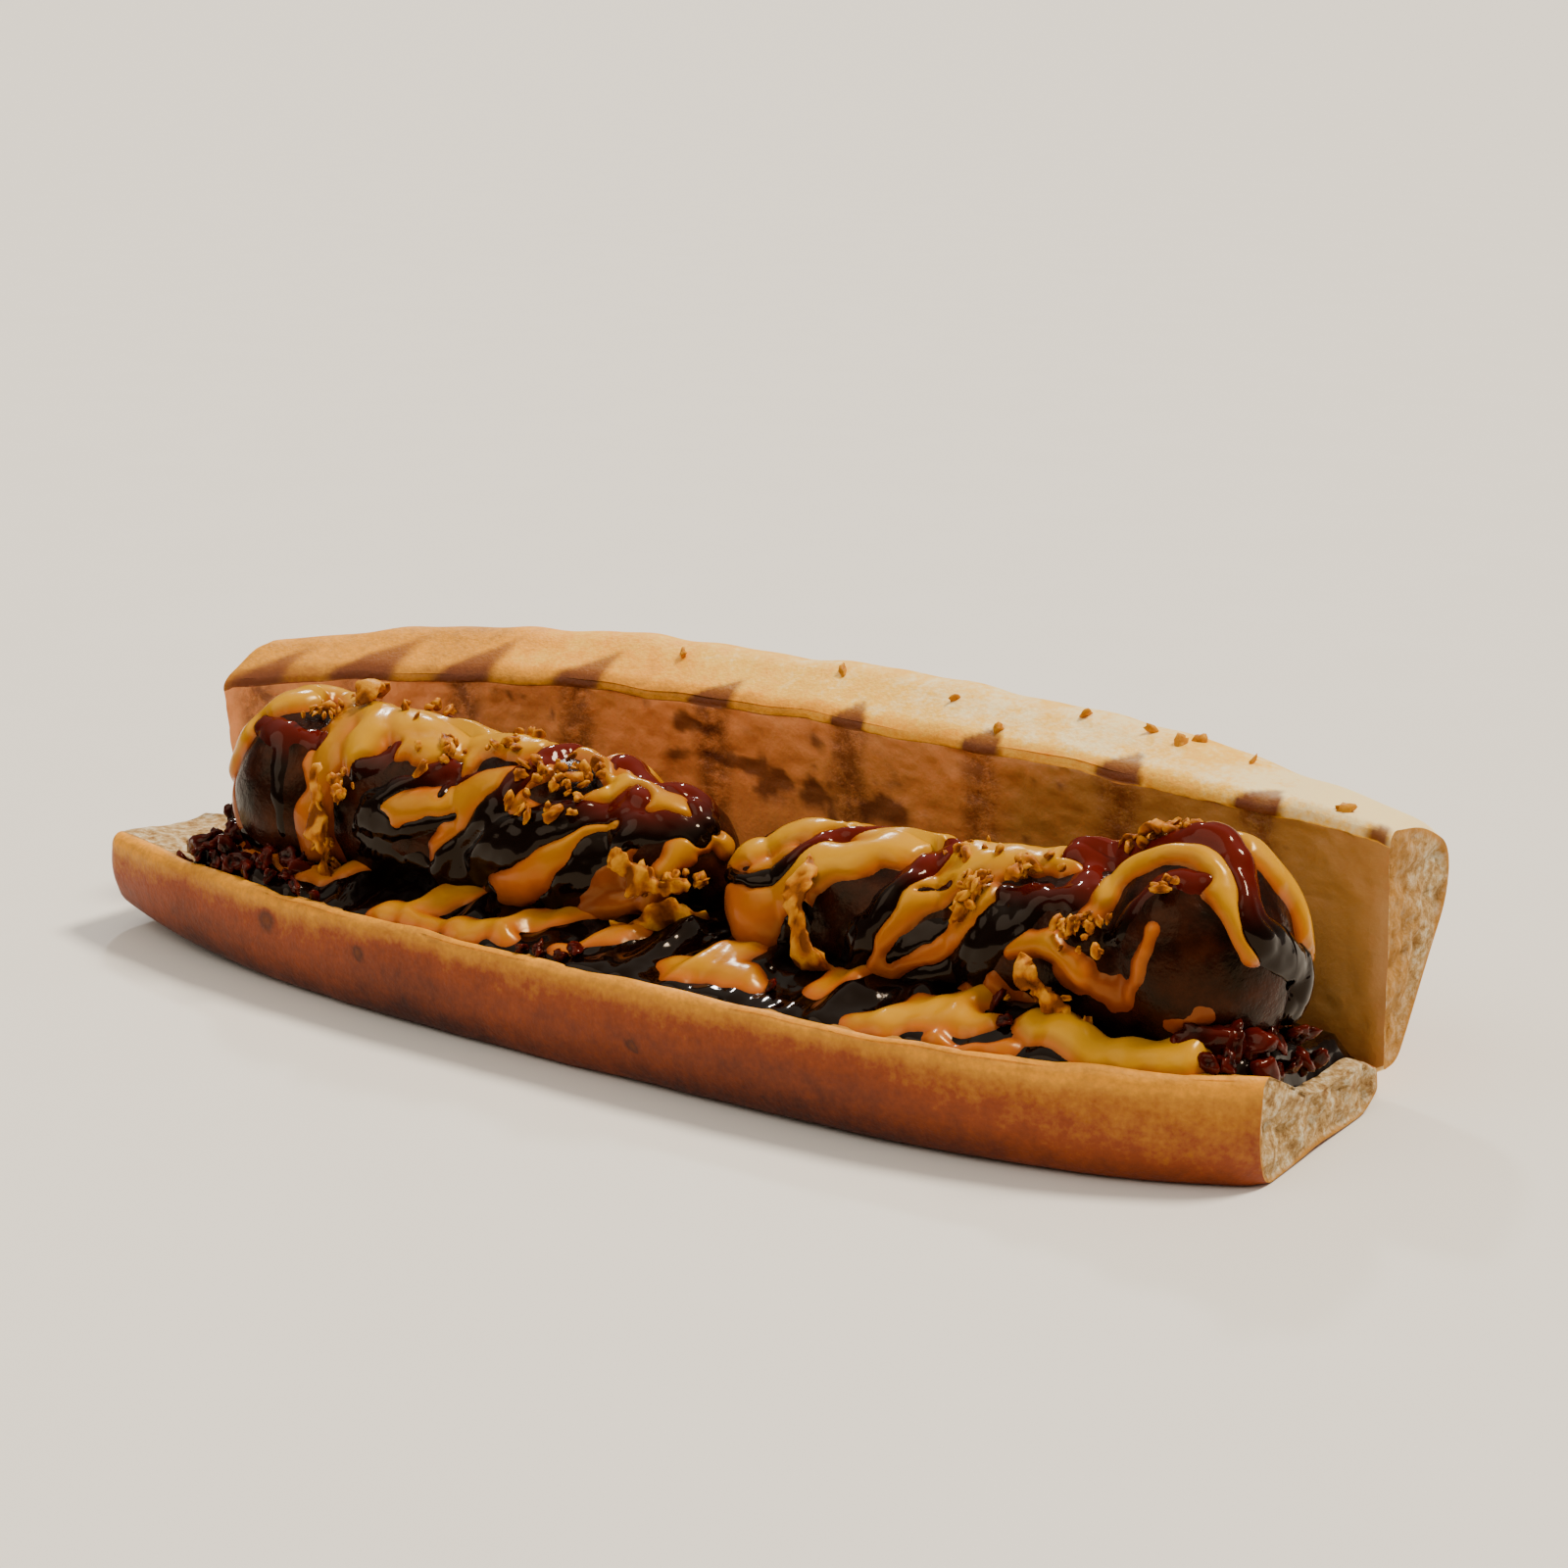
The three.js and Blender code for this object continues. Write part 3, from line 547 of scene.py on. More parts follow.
def open_wheat_crumb(settings):
    """White wheat crumb, sliced: an open sponge of pores with a thin brown crust round it, the pores
    darkened with painted shade.
    """
    material, tree, place = new_material("open_wheat_crumb")
    torn = noise_at(tree, place, 2.2, 6.0, 0.74)
    painted_pore_shade = ramp_of(tree, torn, ((0.36, "#94662C"), (0.5, settings.crumb), (0.64, "#F2E2BE")))
    colour = mixed(tree, value_of(tree, "rim"), painted_pore_shade, settings.golden)
    colour = mixed(tree, value_of(tree, "griddle"), colour, settings.griddled)
    return finished(
        material, colour, [(torn, 1.7)],
        roughness=0.85, inside=0.1, inside_reach=(1.0, 0.8, 0.5), inside_scale=2.0 * MM,
    )


def griddled_cut_face(settings):
    """Cut bread pressed on a griddle: flattened, oily and tan, with rough browned bars."""
    material, tree, place = new_material("griddled_cut_face")
    tone = sum_of(tree, value_of(tree, "bake"), noise_at(tree, place, 13), 0.34)
    tone = sum_of(tree, tone, noise_at(tree, place, 1.6), 0.2)
    colour = ramp_of(tree, tone, ((0.0, "#B98A48"), (0.3, "#B47A38"), (0.62, "#F69A50"), (1.0, "#BC5C26")))
    patchy = ((0.34, (0.15, 0.15, 0.15, 1)), (0.6, (1, 1, 1, 1)))
    inputs = {0: value_of(tree, "griddle"), 1: ramp_of(tree, noise_at(tree, place, 3.6, 5.0, 0.7), patchy)}
    scorched = add_node(tree, "ShaderNodeMath", inputs, operation="MULTIPLY").outputs[0]
    colour = mixed(tree, scorched, colour, settings.griddled)
    colour = mixed(tree, value_of(tree, "stain"), colour, "#4A1606")
    heights = [(noise_at(tree, place, 5), 0.25), (noise_at(tree, place, 1.0), 0.14), (scorched, -0.3)]
    return finished(material, colour, heights, roughness=0.5, inside=0.1, inside_scale=1.5 * MM)


def grilled_sausage_skin(settings):
    """Sausage skin off the grill: tight, brown and greasy, darker where it caught the heat, and kept near
    black partly as painted shade.
    """
    material, tree, place = new_material("grilled_sausage_skin")
    stops = ((0.36, "#070201"), (0.55, settings.skin), (0.78, "#3E1A0A"))
    mottle = ramp_of(tree, noise_at(tree, place, 7, 5.0), stops)
    heights = [(noise_at(tree, place, 2.5), 0.25), (noise_at(tree, place, 0.7, 2.0), 0.06)]
    return finished(
        material, mottle, heights,
        roughness=0.26, specular=0.15, tint="#FFCF9E", inside=0.05, inside_scale=1.5 * MM,
    )


def thick_cheese_sauce(settings):
    """Thick warm cheese sauce, squeezed on: smooth and glossy, light going a little way in. Its brown end is
    thin cheese and also painted shade.
    """
    material, tree, place = new_material("thick_cheese_sauce")
    depth = sum_of(tree, value_of(tree, "thickness"), noise_at(tree, place, 6), 0.25)
    stops = ((0.1, settings.cheese_thin_and_shaded), (0.36, "#B05A10"), (0.66, settings.cheese), (1.0, "#C68C00"))
    return finished(
        material, ramp_of(tree, depth, stops), [(noise_at(tree, place, 2.6, 1.0), 0.16)],
        roughness=0.24, ior=1.46, specular=0.5, tint="#FFD58A",
        inside=0.08, inside_reach=(1.0, 0.55, 0.12), inside_scale=1.6 * MM,
    )


def barbecue_glaze(settings):
    """Barbecue sauce, poured: nearly black in its depth, dark red where it lies in the light, and wet."""
    material, tree, place = new_material("barbecue_glaze")
    # On the sausages the red is painted light on the up-facing tops
    colour = mixed(tree, value_of(tree, "upward"), settings.barbecue, settings.barbecue_red)
    heights = [(noise_at(tree, place, 5.0, 1.0), 0.5)]
    return finished(material, colour, heights, roughness=0.08, ior=1.48, specular=0.2, tint="#FFE2C4")


def crisp_fried_onion(settings):
    """Onion fried crisp in flour: golden and crinkled, brown in the folds and at the edges; the gold on
    raised and upper parts and the brown in hollows are partly painted light and shade.
    """
    material, tree, place = new_material("crisp_fried_onion")
    fry = sum_of(tree, value_of(tree, "fold"), noise_at(tree, place, 2.0), 0.7)
    colour = ramp_of(tree, fry, ((0.2, settings.brown), (0.55, "#A85E0C"), (0.9, settings.golden)))
    return finished(
        material, colour, [(noise_at(tree, place, 0.9), 0.22)],
        roughness=0.45, specular=0.28, tint="#FFC477",
        inside=0.05, inside_reach=(1.0, 0.6, 0.3), inside_scale=1.0 * MM,
    )


def rolled_matt_paint(settings):
    """Matt paint, rolled on: plain and pale, with a faint tooth."""
    material, tree, place = new_material("rolled_matt_paint")
    colour = mixed(tree, noise_at(tree, place, 40), settings.floor, "#EDE9E2")
    return finished(material, colour, roughness=0.7)


# The roll


def rounded_outline(corners, counts, arc_steps=6):
    """A closed outline in Y and Z through corners of (y, z, radius, kind), and each point's kind."""
    places = np.array([corner[:2] for corner in corners])
    total = len(corners)
    points, kinds = [], []
    for i, (_, _, radius, kind) in enumerate(corners):
        here, before, after = places[i], places[i - 1], places[(i + 1) % total]
        enter = here + (before - here) / np.linalg.norm(before - here) * radius
        leave = here + (after - here) / np.linalg.norm(after - here) * radius
        share = np.linspace(0, 1, arc_steps + 1)[:, None]
        points.append((1 - share) ** 2 * enter + 2 * share * (1 - share) * here + share**2 * leave)
        next_radius = corners[(i + 1) % total][2]
        target = after + (here - after) / np.linalg.norm(after - here) * next_radius
        steps = np.linspace(0, 1, counts[i] + 2)[1:-1, None]
        points.append(leave + (target - leave) * steps)
        kinds += [min(corners[i - 1][3], kind)] * arc_steps + [kind] * (counts[i] + 1)
    return np.concatenate(points), np.array(kinds)


def straight_counts(corners, spacing):
    places = np.array([corner[:2] for corner in corners])
    lengths = np.linalg.norm(np.roll(places, -1, axis=0) - places, axis=1)
    return [max(1, int(length / spacing)) for length in lengths]


def lower_front(x):
    return float(along(LOWER_FRONT, x, 2.8 if x < 0 else 3.9))


def lower_corners(x):
    front, back = lower_front(x), float(along(LOWER_BACK, x))
    lip = LOWER_LIP + uneven(x, 0, 1.3) * 0.5
    rise = max(0.0, -x / HALF_LENGTH - RISE_FROM) / (1 - RISE_FROM)
    bottom = LOWER_RISE * rise**2
    floor = LOWER_FLOOR + UNPRESSED_RISE * float(smooth(UNPRESSED_FROM, UNPRESSED_TO, x))
    return [
        (front + 3, bottom, 3.5, CRUST),
        (back - 5, bottom, 3, CRUST),
        (back, bottom + 0.4 * (LOWER_HINGE - bottom), 1, CRUST),
        (back - 1, LOWER_HINGE, 1.2, CRUMB),
        (back - 8, floor, 4, CRUMB),
        (front + LOWER_SLOPE, floor, 8, CRUMB),
        (front + 2.2, lip, 1.2, CRUST),
        (front + 0.6, lip - 1.5, 1, CRUST),
        (front - 0.4, bottom + 0.42 * (lip - bottom), 4.5, CRUST),
    ]


def upper_face(x):
    """The lid's cut face at x: y of its foot and its top edge, and z of both."""
    foot = float(along(UPPER_FOOT, x))
    top = float(along(UPPER_FACE_TOP, x, 2.2)) + uneven(x, 1, 4.1) * 0.6
    return foot, foot - UPPER_LEAN, float(along(UPPER_FOOT_HEIGHT, x, 6)), top


def upper_corners(x):
    foot, edge, low, top = upper_face(x)
    thick = float(along(UPPER_THICKNESS, x, 5))
    crown = float(along(UPPER_CROWN, x, 2.6)) + uneven(x, 2, 2.7) * 0.8
    height = top - low
    return [
        (foot, low, 1, CRUST),
        (foot + 6, low, 3, CRUST),
        (foot + 0.62 * thick, low + 0.3 * height, 6, CRUST),
        (foot + thick, low + 0.6 * height, 6, CRUST),
        (foot + thick - 1.5, low + 0.82 * height, 5, CRUST),
        (foot + 0.45 * thick, crown, 7, CRUST),
        (edge + 1.5, top + 0.8, 1.6, CRUST),
        (edge, top - 1.2, 1, TOASTED),
        (edge + 0.45 * UPPER_LEAN, low + 0.5 * height, 8, TOASTED),
    ]


def half_roll(corners_at, spacing):
    """Rings of points along half of the roll and in over its cut ends, with each point's kind and depth
    from the rim of the cut end."""
    counts = straight_counts(corners_at(0.0), spacing)
    stations = np.linspace(-HALF_LENGTH, HALF_LENGTH, int(2 * HALF_LENGTH / spacing))
    rings = []
    for x in stations:
        outline, kinds = rounded_outline(corners_at(float(x)), counts)
        rings.append(np.column_stack([np.full(len(outline), x), outline]))
    rings = np.array(rings)
    inward = np.linspace(0, 1, int(20 / spacing))[1:]
    ends = []
    for ring in (rings[0], rings[-1]):
        centre = ring.mean(axis=0)
        ends.append(np.array([ring + (centre - ring) * share for share in inward]))
    points = np.concatenate([ends[0][::-1], rings, ends[1]])
    on_end = np.ones(len(points), dtype=bool)
    on_end[len(inward) : len(inward) + len(stations)] = False
    depth = np.zeros(points.shape[:2])
    for block, ring in ((slice(0, len(inward)), rings[0]), (slice(-len(inward), None), rings[-1])):
        depth[block] = np.linalg.norm(points[block] - ring, axis=-1)
    return points, kinds, on_end, depth


def ring_normals(points):
    """Outward normals of the rings in the plane across the roll."""
    tangent = np.roll(points, -1, axis=1) - np.roll(points, 1, axis=1)
    normal = np.stack([np.zeros(tangent.shape[:2]), tangent[..., 2], -tangent[..., 1]], axis=-1)
    return normal / np.maximum(np.linalg.norm(normal, axis=-1, keepdims=True), 1e-9)


def roughen(points, kinds, on_end, depth):
    """Slow dents in the crust, and a torn, pitted face where the roll is cut."""
    crumbly = np.where(kinds == CRUST, 0.0, 1.0)[None, :]
    dents = 0.3 * soft_noise(points, 22, 3) + 0.1 * soft_noise(points, 7, 5)
    torn = 0.55 * fractal(points, 4.5, 11) - 0.35 * smooth(0.35, 0.8, soft_noise(points, 2.4, 17))
    side = dents * (1 - crumbly) + torn * crumbly
    pores = smooth(0.3, 0.7, soft_noise(points, 2.6, 29))
    pulled = smooth(0, 2.5, depth) * (1.1 * fractal(points, 5, 23) - 0.6 * pores) - 0.3 * smooth(0, 3, depth)
    rim = 0.35 * soft_noise(points, 2.2, 31) * np.exp(-depth)
    side[on_end] = 0
    side = side - 0.9 * smooth(HALF_LENGTH - 2.5, HALF_LENGTH, np.abs(points[..., 0])) * np.exp(-depth / 3)
    from_heart = points - points.mean(axis=1, keepdims=True)
    from_heart /= np.maximum(np.linalg.norm(from_heart, axis=-1, keepdims=True), 1e-6)
    near_end = (np.abs(points[..., 0]) > HALF_LENGTH - 4)[..., None]
    moved = points + np.where(near_end, from_heart, ring_normals(points)) * side[..., None]
    moved[on_end, :, 0] += (pulled * np.sign(points[..., 0]) + rim)[on_end]
    moved[..., 0] = np.clip(moved[..., 0], -HALF_LENGTH - 0.4, HALF_LENGTH + 0.4)
    moved[..., 2] = np.maximum(moved[..., 2], 0.0)
    return moved


def face_kinds(kinds, on_end, rows):
    """The kind of each quad: crumb over the cut ends, else the kind of the outline there."""
    side = np.tile(kinds, (rows - 1, 1))
    over_end = on_end[:-1] | on_end[1:]
    side[over_end] = CRUMB
    return side


def griddle_marks(points, crust_side):
    """How strongly the griddle has marked each point, by its distance from the lid's cut edge.
    On the crust a mark is a wedge with a straight right side, partly the painted shade of a pressed groove
    that the mesh doesn't cut, and down the cut face a rough bar."""
    x = points[..., 0]
    face = np.array([upper_face(float(value)) for value in x[:, 0]])
    over = points[..., 1] - face[:, 1][:, None] + 0.5 * soft_noise(points, 3.0, 41)
    below = face[:, 3][:, None] - points[..., 2]
    ragged = 1.1 * soft_noise(points, 3.0, 43)
    mark = np.zeros(x.shape)
    for right, length, reach in GRIDDLE_MARKS:
        softness = 0.5 + 1.2 * float(smooth(0, -70, right))
        lean = -0.45 * float(smooth(-20, 20, right))
        left_of = right + lean * over - x
        wedge = smooth(-softness, softness, left_of)
        wedge = wedge * smooth(softness, -softness, over - reach * (1 - left_of / length))
        wedge = wedge * (1 - 0.4 * np.clip(over / reach, 0, 1))
        bar = np.exp(-(((x - right + 0.45 * length + ragged) / 4.2) ** 4)) * smooth(38, 18, below)
        bar = bar * (length > 6)
        mark = np.maximum(mark, np.where(crust_side, wedge, 0.8 * bar))
    return np.clip(mark, 0, 1)


def lower_values(points, kinds, on_end, depth):
    """Bake with painted shade and light, the pits' painted shade as griddle marks, and rim for the lower
    half.
    """
    x, z = points[..., 0], points[..., 2]
    height = np.clip(z / LOWER_LIP, 0, 1)
    # Painted shade and light, partly: the crust darkens towards the underside and turns golden at the lit
    # lip
    bake = 0.8 + 0.16 * smooth(0.42, 0.08, height) - 0.16 * smooth(0.4, 0.85, height)
    bake = bake - 0.3 * smooth(0.74, 1.0, height) - 0.15 * smooth(58, 100, x) - 0.12 * smooth(-75, -125, x)
    bake = np.maximum(bake + 0.12 * soft_noise(points, 34, 51), 0.36)
    rim = np.where(kinds == CRUST, 1.0, 0.0)[None, :] * smooth(1.6, 0.3, depth)
    by_lip = smooth(-6, -1, z - LOWER_LIP) * (points[..., 1] < -20) * (x > -106)
    rim = np.maximum(rim, np.where(on_end[:, None], 0, by_lip))
    pit_shade = np.zeros(x.shape)
    for at_x, at_z, radius in PITS:
        away = ((x - at_x) ** 2 + (z - at_z) ** 2) / radius**2
        pit_shade = np.maximum(pit_shade, np.exp(-away) * (points[..., 1] < -30))
    return {"bake": bake + pit_shade, "griddle": pit_shade, "rim": rim, "stain": np.zeros(x.shape)}


def upper_values(points, kinds, on_end, depth):
    """Bake with painted light on the crown, griddle marks with painted shade, rim with painted shade on the
    cut end, and sauce stain for the upper half.
    """
    x, y, z = points[..., 0], points[..., 1], points[..., 2]
    face = np.array([upper_face(float(v)) for v in x[:, 0]])
    back = y - face[:, 1][:, None]
    fall = face[:, 3][:, None] + 4 - z
    crust_side = np.tile(kinds == CRUST, (len(points), 1)) | on_end[:, None]
    # Painted light, partly: the crown is kept pale where the light falls on it, as well as for its flour
    pale = 0.02 + 0.32 * smooth(120, -115, x)
    crust_bake = pale + 0.5 * smooth(8, 34, fall) * smooth(10, 22, back)
    crust_bake = crust_bake + 0.12 * smooth(4.0, 0.0, back) + 0.1 * soft_noise(points, 30, 61)
    face_bake = 0.22 + 0.4 * smooth(95, 0, x) + 0.08 * soft_noise(points, 20, 63)
    bake = np.where(crust_side, crust_bake, face_bake)
    stain = np.zeros(x.shape)
    for at_x, at_z, along_x, up_z in SPLASHES:
        stain = np.maximum(stain, np.exp(-(((x - at_x) / along_x) ** 2) - ((z - at_z) / up_z) ** 2))
    stain = 0.75 * smooth(0.35, 0.75, stain + 0.55 * fractal(points, 4, 67))
    rim = np.where(kinds == CRUST, 1.0, 0.0)[None, :] * smooth(2.4, 0.4, depth)
    # Partly painted shade: the crumb of the lid's cut end turns golden and darker towards the cut face
    pressed_and_shaded = smooth(22, 5, back + 3 * soft_noise(points, 4, 69)) * on_end[:, None]
    rim = np.maximum(rim, 0.72 * pressed_and_shaded)
    griddle = griddle_marks(points, crust_side) * np.where(on_end, 0.0, 1.0)[:, None]
    return {"bake": bake, "griddle": griddle, "rim": rim, "stain": stain}


class HOTDOG_OT_roll(Operator):
    """Makes both halves of the cut roll"""

    bl_idname = "hotdog.roll"
    bl_label = "Roll"

    def execute(self, context):
        settings = context.scene.hotdog_roll
        materials = [baked_wheat_crust(settings), open_wheat_crumb(settings), griddled_cut_face(settings)]
        halves = (
            ("roll_lower_half", lower_corners, lower_values, "bun_lower"),
            ("roll_upper_half", upper_corners, upper_values, "bun_upper"),
        )
        for name, corners_at, values_at, node in halves:
            points, kinds, on_end, depth = half_roll(corners_at, settings.grid_mm)
            moved = roughen(points, kinds, on_end, depth)
            rows, columns = points.shape[:2]
            faces = grid_faces(rows, columns, True)
            made = mesh_object(
                name,
                moved,
                faces,
                materials,
                face_kinds(kinds, on_end, rows),
                values_at(points, kinds, on_end, depth),
                sharp=48,
            )
            settle(made, "bread", node)
        return {"FINISHED"}


# The sausages and what is drizzled over them


def bulge_lift(x):
    place = (x - BULGE_FIRST) / BULGE_PITCH + 0.5
    low = np.clip(np.floor(place), 0, len(BULGE_LIFT) - 1).astype(int)
    high = np.minimum(low + 1, len(BULGE_LIFT) - 1)
    return BULGE_LIFT[low] + (BULGE_LIFT[high] - BULGE_LIFT[low]) * smooth(0, 1, place - low)


def sausage_surface(ends, x, angle):
    """Points on a bare sausage, and the way out of it."""
    low, high = ends
    in_cap = np.maximum(0, np.maximum(low + RADIUS - x, x - high + RADIUS))
    cap = np.sqrt(np.maximum(0, 1 - (in_cap / RADIUS) ** 2))
    slashed = x + SLASH_SLANT * (angle / (math.pi / 2))
    wave = np.abs(np.sin(math.pi * (slashed - BULGE_FIRST) / BULGE_PITCH))
    slash = SLASH_DEPTH * (1 - wave) ** SLASH_SHARPNESS * (0.5 + 0.5 * np.cos(angle + 0.5))
    lift = bulge_lift(x) * (0.5 + 0.5 * np.cos(angle))
    radius = cap * (RADIUS - slash + lift + 0.35 * uneven(x, angle, low))
    axis_y, axis_z = FILLING_Y + FILLING_SKEW * x, FILLING_UNDERSIDE + RADIUS
    points = np.stack([x, axis_y + radius * np.sin(angle), axis_z + radius * np.cos(angle)], axis=-1)
    inner = np.clip(x, low + 0.9 * RADIUS, high - 0.9 * RADIUS)
    heart = np.stack([inner, FILLING_Y + FILLING_SKEW * inner, np.full_like(inner, axis_z)], axis=-1)
    out = points - heart
    return points, out / np.linalg.norm(out, axis=-1, keepdims=True)


def sausage_for(x):
    return SAUSAGES["sausage_left" if x < BETWEEN_SAUSAGES else "sausage_right"]


def sausage_grid(ends, spacing):
    """Stations along a sausage, closer over its caps, and angles all round from behind the crown."""
    low, high = ends
    cap_turn = np.linspace(0, math.pi / 2, int(RADIUS * 1.6 / spacing))
    cap = RADIUS * (1 - np.cos(cap_turn))
    body = np.arange(low + RADIUS, high - RADIUS, spacing)[1:]
    x = np.concatenate([low + cap, body, (high - cap)[::-1]])
    angle = np.linspace(0, -2 * math.pi, int(2 * math.pi * RADIUS / spacing), endpoint=False)
    return np.meshgrid(np.clip(x, low + 0.02, high - 0.02), angle, indexing="ij")


def through(places, steps=30):
    """A smooth path through places, by a Catmull-Rom spline."""
    places = np.array(places, dtype=float)
    knots = np.vstack([2 * places[0] - places[1], places, 2 * places[-1] - places[-2]])
    at = np.linspace(0, len(places) - 1 - 1e-6, steps)
    first = at.astype(int)
    t = (at - first)[:, None]
    a, b, c, d = (knots[first + k] for k in range(4))
    return 0.5 * (2 * b + (c - a) * t + (2 * a - 5 * b + 4 * c - d) * t**2 + (3 * b - a - 3 * c + d) * t**3)


def ribbon_on_sausages(places):
    path = []
    for x, angle in through(places):
        ends = sausage_for(x)
        x = np.array([min(max(x, ends[0] + 0.3), ends[1] - 0.3)])
        path.append(sausage_surface(ends, x, np.radians([angle]))[0][0])
    return np.array(path)


def ribbon_height(points, path, width, height, seed):
    """Thickness of one ribbon of sauce over points: rounded across, with a wandering width."""
    low, high = path.min(axis=0) - width * 1.6, path.max(axis=0) + width * 1.6
    near = np.all((points > low) & (points < high), axis=-1)
    result = np.zeros(points.shape[:-1])
    if not near.any():
        return result
    place = points[near]
    best = np.full(len(place), 1e9)
    share = np.zeros(len(place))
    for i in range(len(path) - 1):
        step = path[i + 1] - path[i]
        t = np.clip(((place - path[i]) @ step) / max(step @ step, 1e-9), 0, 1)
        gap = np.linalg.norm(place - path[i] - t[:, None] * step, axis=1)
        closer = gap < best
        best[closer] = gap[closer]
        share[closer] = ((i + t) / (len(path) - 1))[closer]
    rng = np.random.default_rng(seed)
    phase, pace = rng.uniform(0, 6.3), rng.uniform(4, 9)
    wide = width * (1 + 0.16 * np.sin(pace * share + phase) + 0.1 * np.sin(2.7 * pace * share + 2 * phase))
    inside = np.clip(1 - (best / wide) ** 2, 0, 1)
    result[near] = height * inside**0.6
    return result


def poured(points, ribbons, warp_seed, to_path):
    """All ribbons of one sauce together, melted into each other where they meet."""
    slow = np.stack([soft_noise(points, 8, warp_seed + k) for k in range(3)], axis=-1)
    quick = np.stack([soft_noise(points, 2.8, warp_seed + 5 + k) for k in range(3)], axis=-1)
    warped = points + (0.9 * slow + 0.45 * quick)
    melt = 3.5
    total = np.zeros(points.shape[:-1])
    for i, (places, width, height) in enumerate(ribbons):
        total += ribbon_height(warped, to_path(places), width, height, 100 + i) ** melt
    return total ** (1 / melt)


def softened(height, rounds, wrap):
    """The height with its steps rounded off."""
    for _ in range(rounds):
        padded = np.pad(height, ((1, 1), (0, 0)), mode="edge")
        height = (padded[:-2] + 2 * height + padded[2:]) / 4
        if wrap:
            height = (np.roll(height, 1, axis=1) + 2 * height + np.roll(height, -1, axis=1)) / 4
        else:
            padded = np.pad(height, ((0, 0), (1, 1)), mode="edge")
            height = (padded[:, :-2] + 2 * height + padded[:, 2:]) / 4
    return height


def sauce_sheet(base, out, height, wrap):
    """A sheet of sauce over a base: where it ends, its rim is sunk into what it lies on."""
    points = base + out * (height - SINK)[..., None]
    covered = height > 0.03
    rows, columns = height.shape
    quads = grid_faces(rows, columns, wrap).reshape(rows - 1, -1, 4)
    keep = covered.ravel()[quads].any(axis=-1)
    return points.reshape(-1, 3), quads[keep]


def joined(parts):
    """Several (points, faces, values by name) as one."""
    offset = 0
    points, faces = [], []
    values = {key: [] for key in parts[0][2]}
    for part_points, part_faces, part_values in parts:
        points.append(part_points)
        faces.append(part_faces + offset)
        for key, value in part_values.items():
            values[key].append(np.ravel(value))
        offset += len(part_points)
    return np.concatenate(points), np.concatenate(faces), {k: np.concatenate(v) for k, v in values.items()}


def dressed(ends, spacing):
    """The sauces over one sausage: heights of the cheese and of the barbecue sauce."""
    x, angle = sausage_grid(ends, spacing)
    base, out = sausage_surface(ends, x, angle)
    cheese = poured(base, CHEESE_RIBBONS, 211, ribbon_on_sausages)
    barbecue = poured(base, BARBECUE_RIBBONS, 223, ribbon_on_sausages)
    cheese = cheese * (1 + 0.16 * soft_noise(base, 5, 231)) * (1 - 0.6 * smooth(0, 0.7, barbecue))
    barbecue = np.where(barbecue > 0, barbecue + cheese, 0)
    return base, out, softened(cheese, 1, True), softened(barbecue, 1, True)


class HOTDOG_OT_filling(Operator):
    """Makes the sausages and the sauces drizzled over them"""

    bl_idname = "hotdog.filling"
    bl_label = "Sausages and drizzle"

    def execute(self, context):
        settings = context.scene.hotdog_filling
        skin = grilled_sausage_skin(settings)
        cheese_parts, barbecue_parts = [], []
        for node, ends in SAUSAGES.items():
            x, angle = sausage_grid(ends, MEAT_GRID)
            base, out = sausage_surface(ends, x, angle)
            wrinkled = base + out * (0.22 * fractal(base, 6, 71))[..., None]
            made = mesh_object(node + "_meat", wrinkled, grid_faces(*x.shape, True), [skin])
            settle(made, "sausage", node)
            base, out, cheese, barbecue = dressed(ends, settings.grid_mm)
            # Painted shade: cheese that faces down and forward counts as thinner, so it takes the browner
            # colour of thin cheese
            painted_shade_by_facing = 0.3 + 0.7 * smooth(-0.3, 0.8, out[..., 2])
            # Painted light: barbecue sauce on the up-facing tops turns dark red
            painted_light_on_tops = 0.9 * smooth(0.55, 1.0, out[..., 2])
            cheese_values = {"thickness": cheese / CHEESE_FULL * painted_shade_by_facing}
            cheese_parts.append((*sauce_sheet(base, out, cheese, True), cheese_values))
            barbecue_parts.append((*sauce_sheet(base, out, barbecue, True), {"upward": painted_light_on_tops}))
        pool_base, up, pool_cheese = pool_surface(settings.grid_mm * POOL_GRID)
        cheese_values = {"thickness": pool_cheese / POOL_CHEESE_FULL}
        cheese_parts.append((*sauce_sheet(pool_base, up, pool_cheese, False), cheese_values))
        points, faces, values = joined(cheese_parts)
        made = mesh_object("cheese_sauce", points, faces, [thick_cheese_sauce(settings)], values=values)
        settle(made, "sausage", *SAUSAGES)
        glaze = barbecue_glaze(settings)
        points, faces, values = joined(barbecue_parts)
        made = mesh_object("barbecue_drizzle", points, faces, [glaze], values=values)
        settle(made, "sausage", *SAUSAGES)
        faces = grid_faces(*pool_cheese.shape, False)
        values = {"upward": np.zeros(pool_cheese.shape)}
        made = mesh_object("barbecue_pool", pool_base, faces, [glaze], values=values)
        settle(made, "sauce", "sauce_pool")
        rng = np.random.default_rng(29)
        parts = []
        for x, y, radius in LUMPS:
            ball, faces, fold = crumb_ball(rng, radius, 3)
            nearest = np.argmin(np.sum((pool_base[..., :2] - (x, y)) ** 2, axis=-1))
            height = pool_base.reshape(-1, 3)[nearest, 2]
            place = (x, y, height + LUMP_RISE * radius)
            parts.append((ball + place, faces, {"upward": LUMP_RED * fold}))
        points, faces, values = joined(parts)
        made = mesh_object("sauced_onion_lumps", points, faces, [glaze], values=values)
        settle(made, "sauce")
        return {"FINISHED"}


# The pool of sauce on the lower half


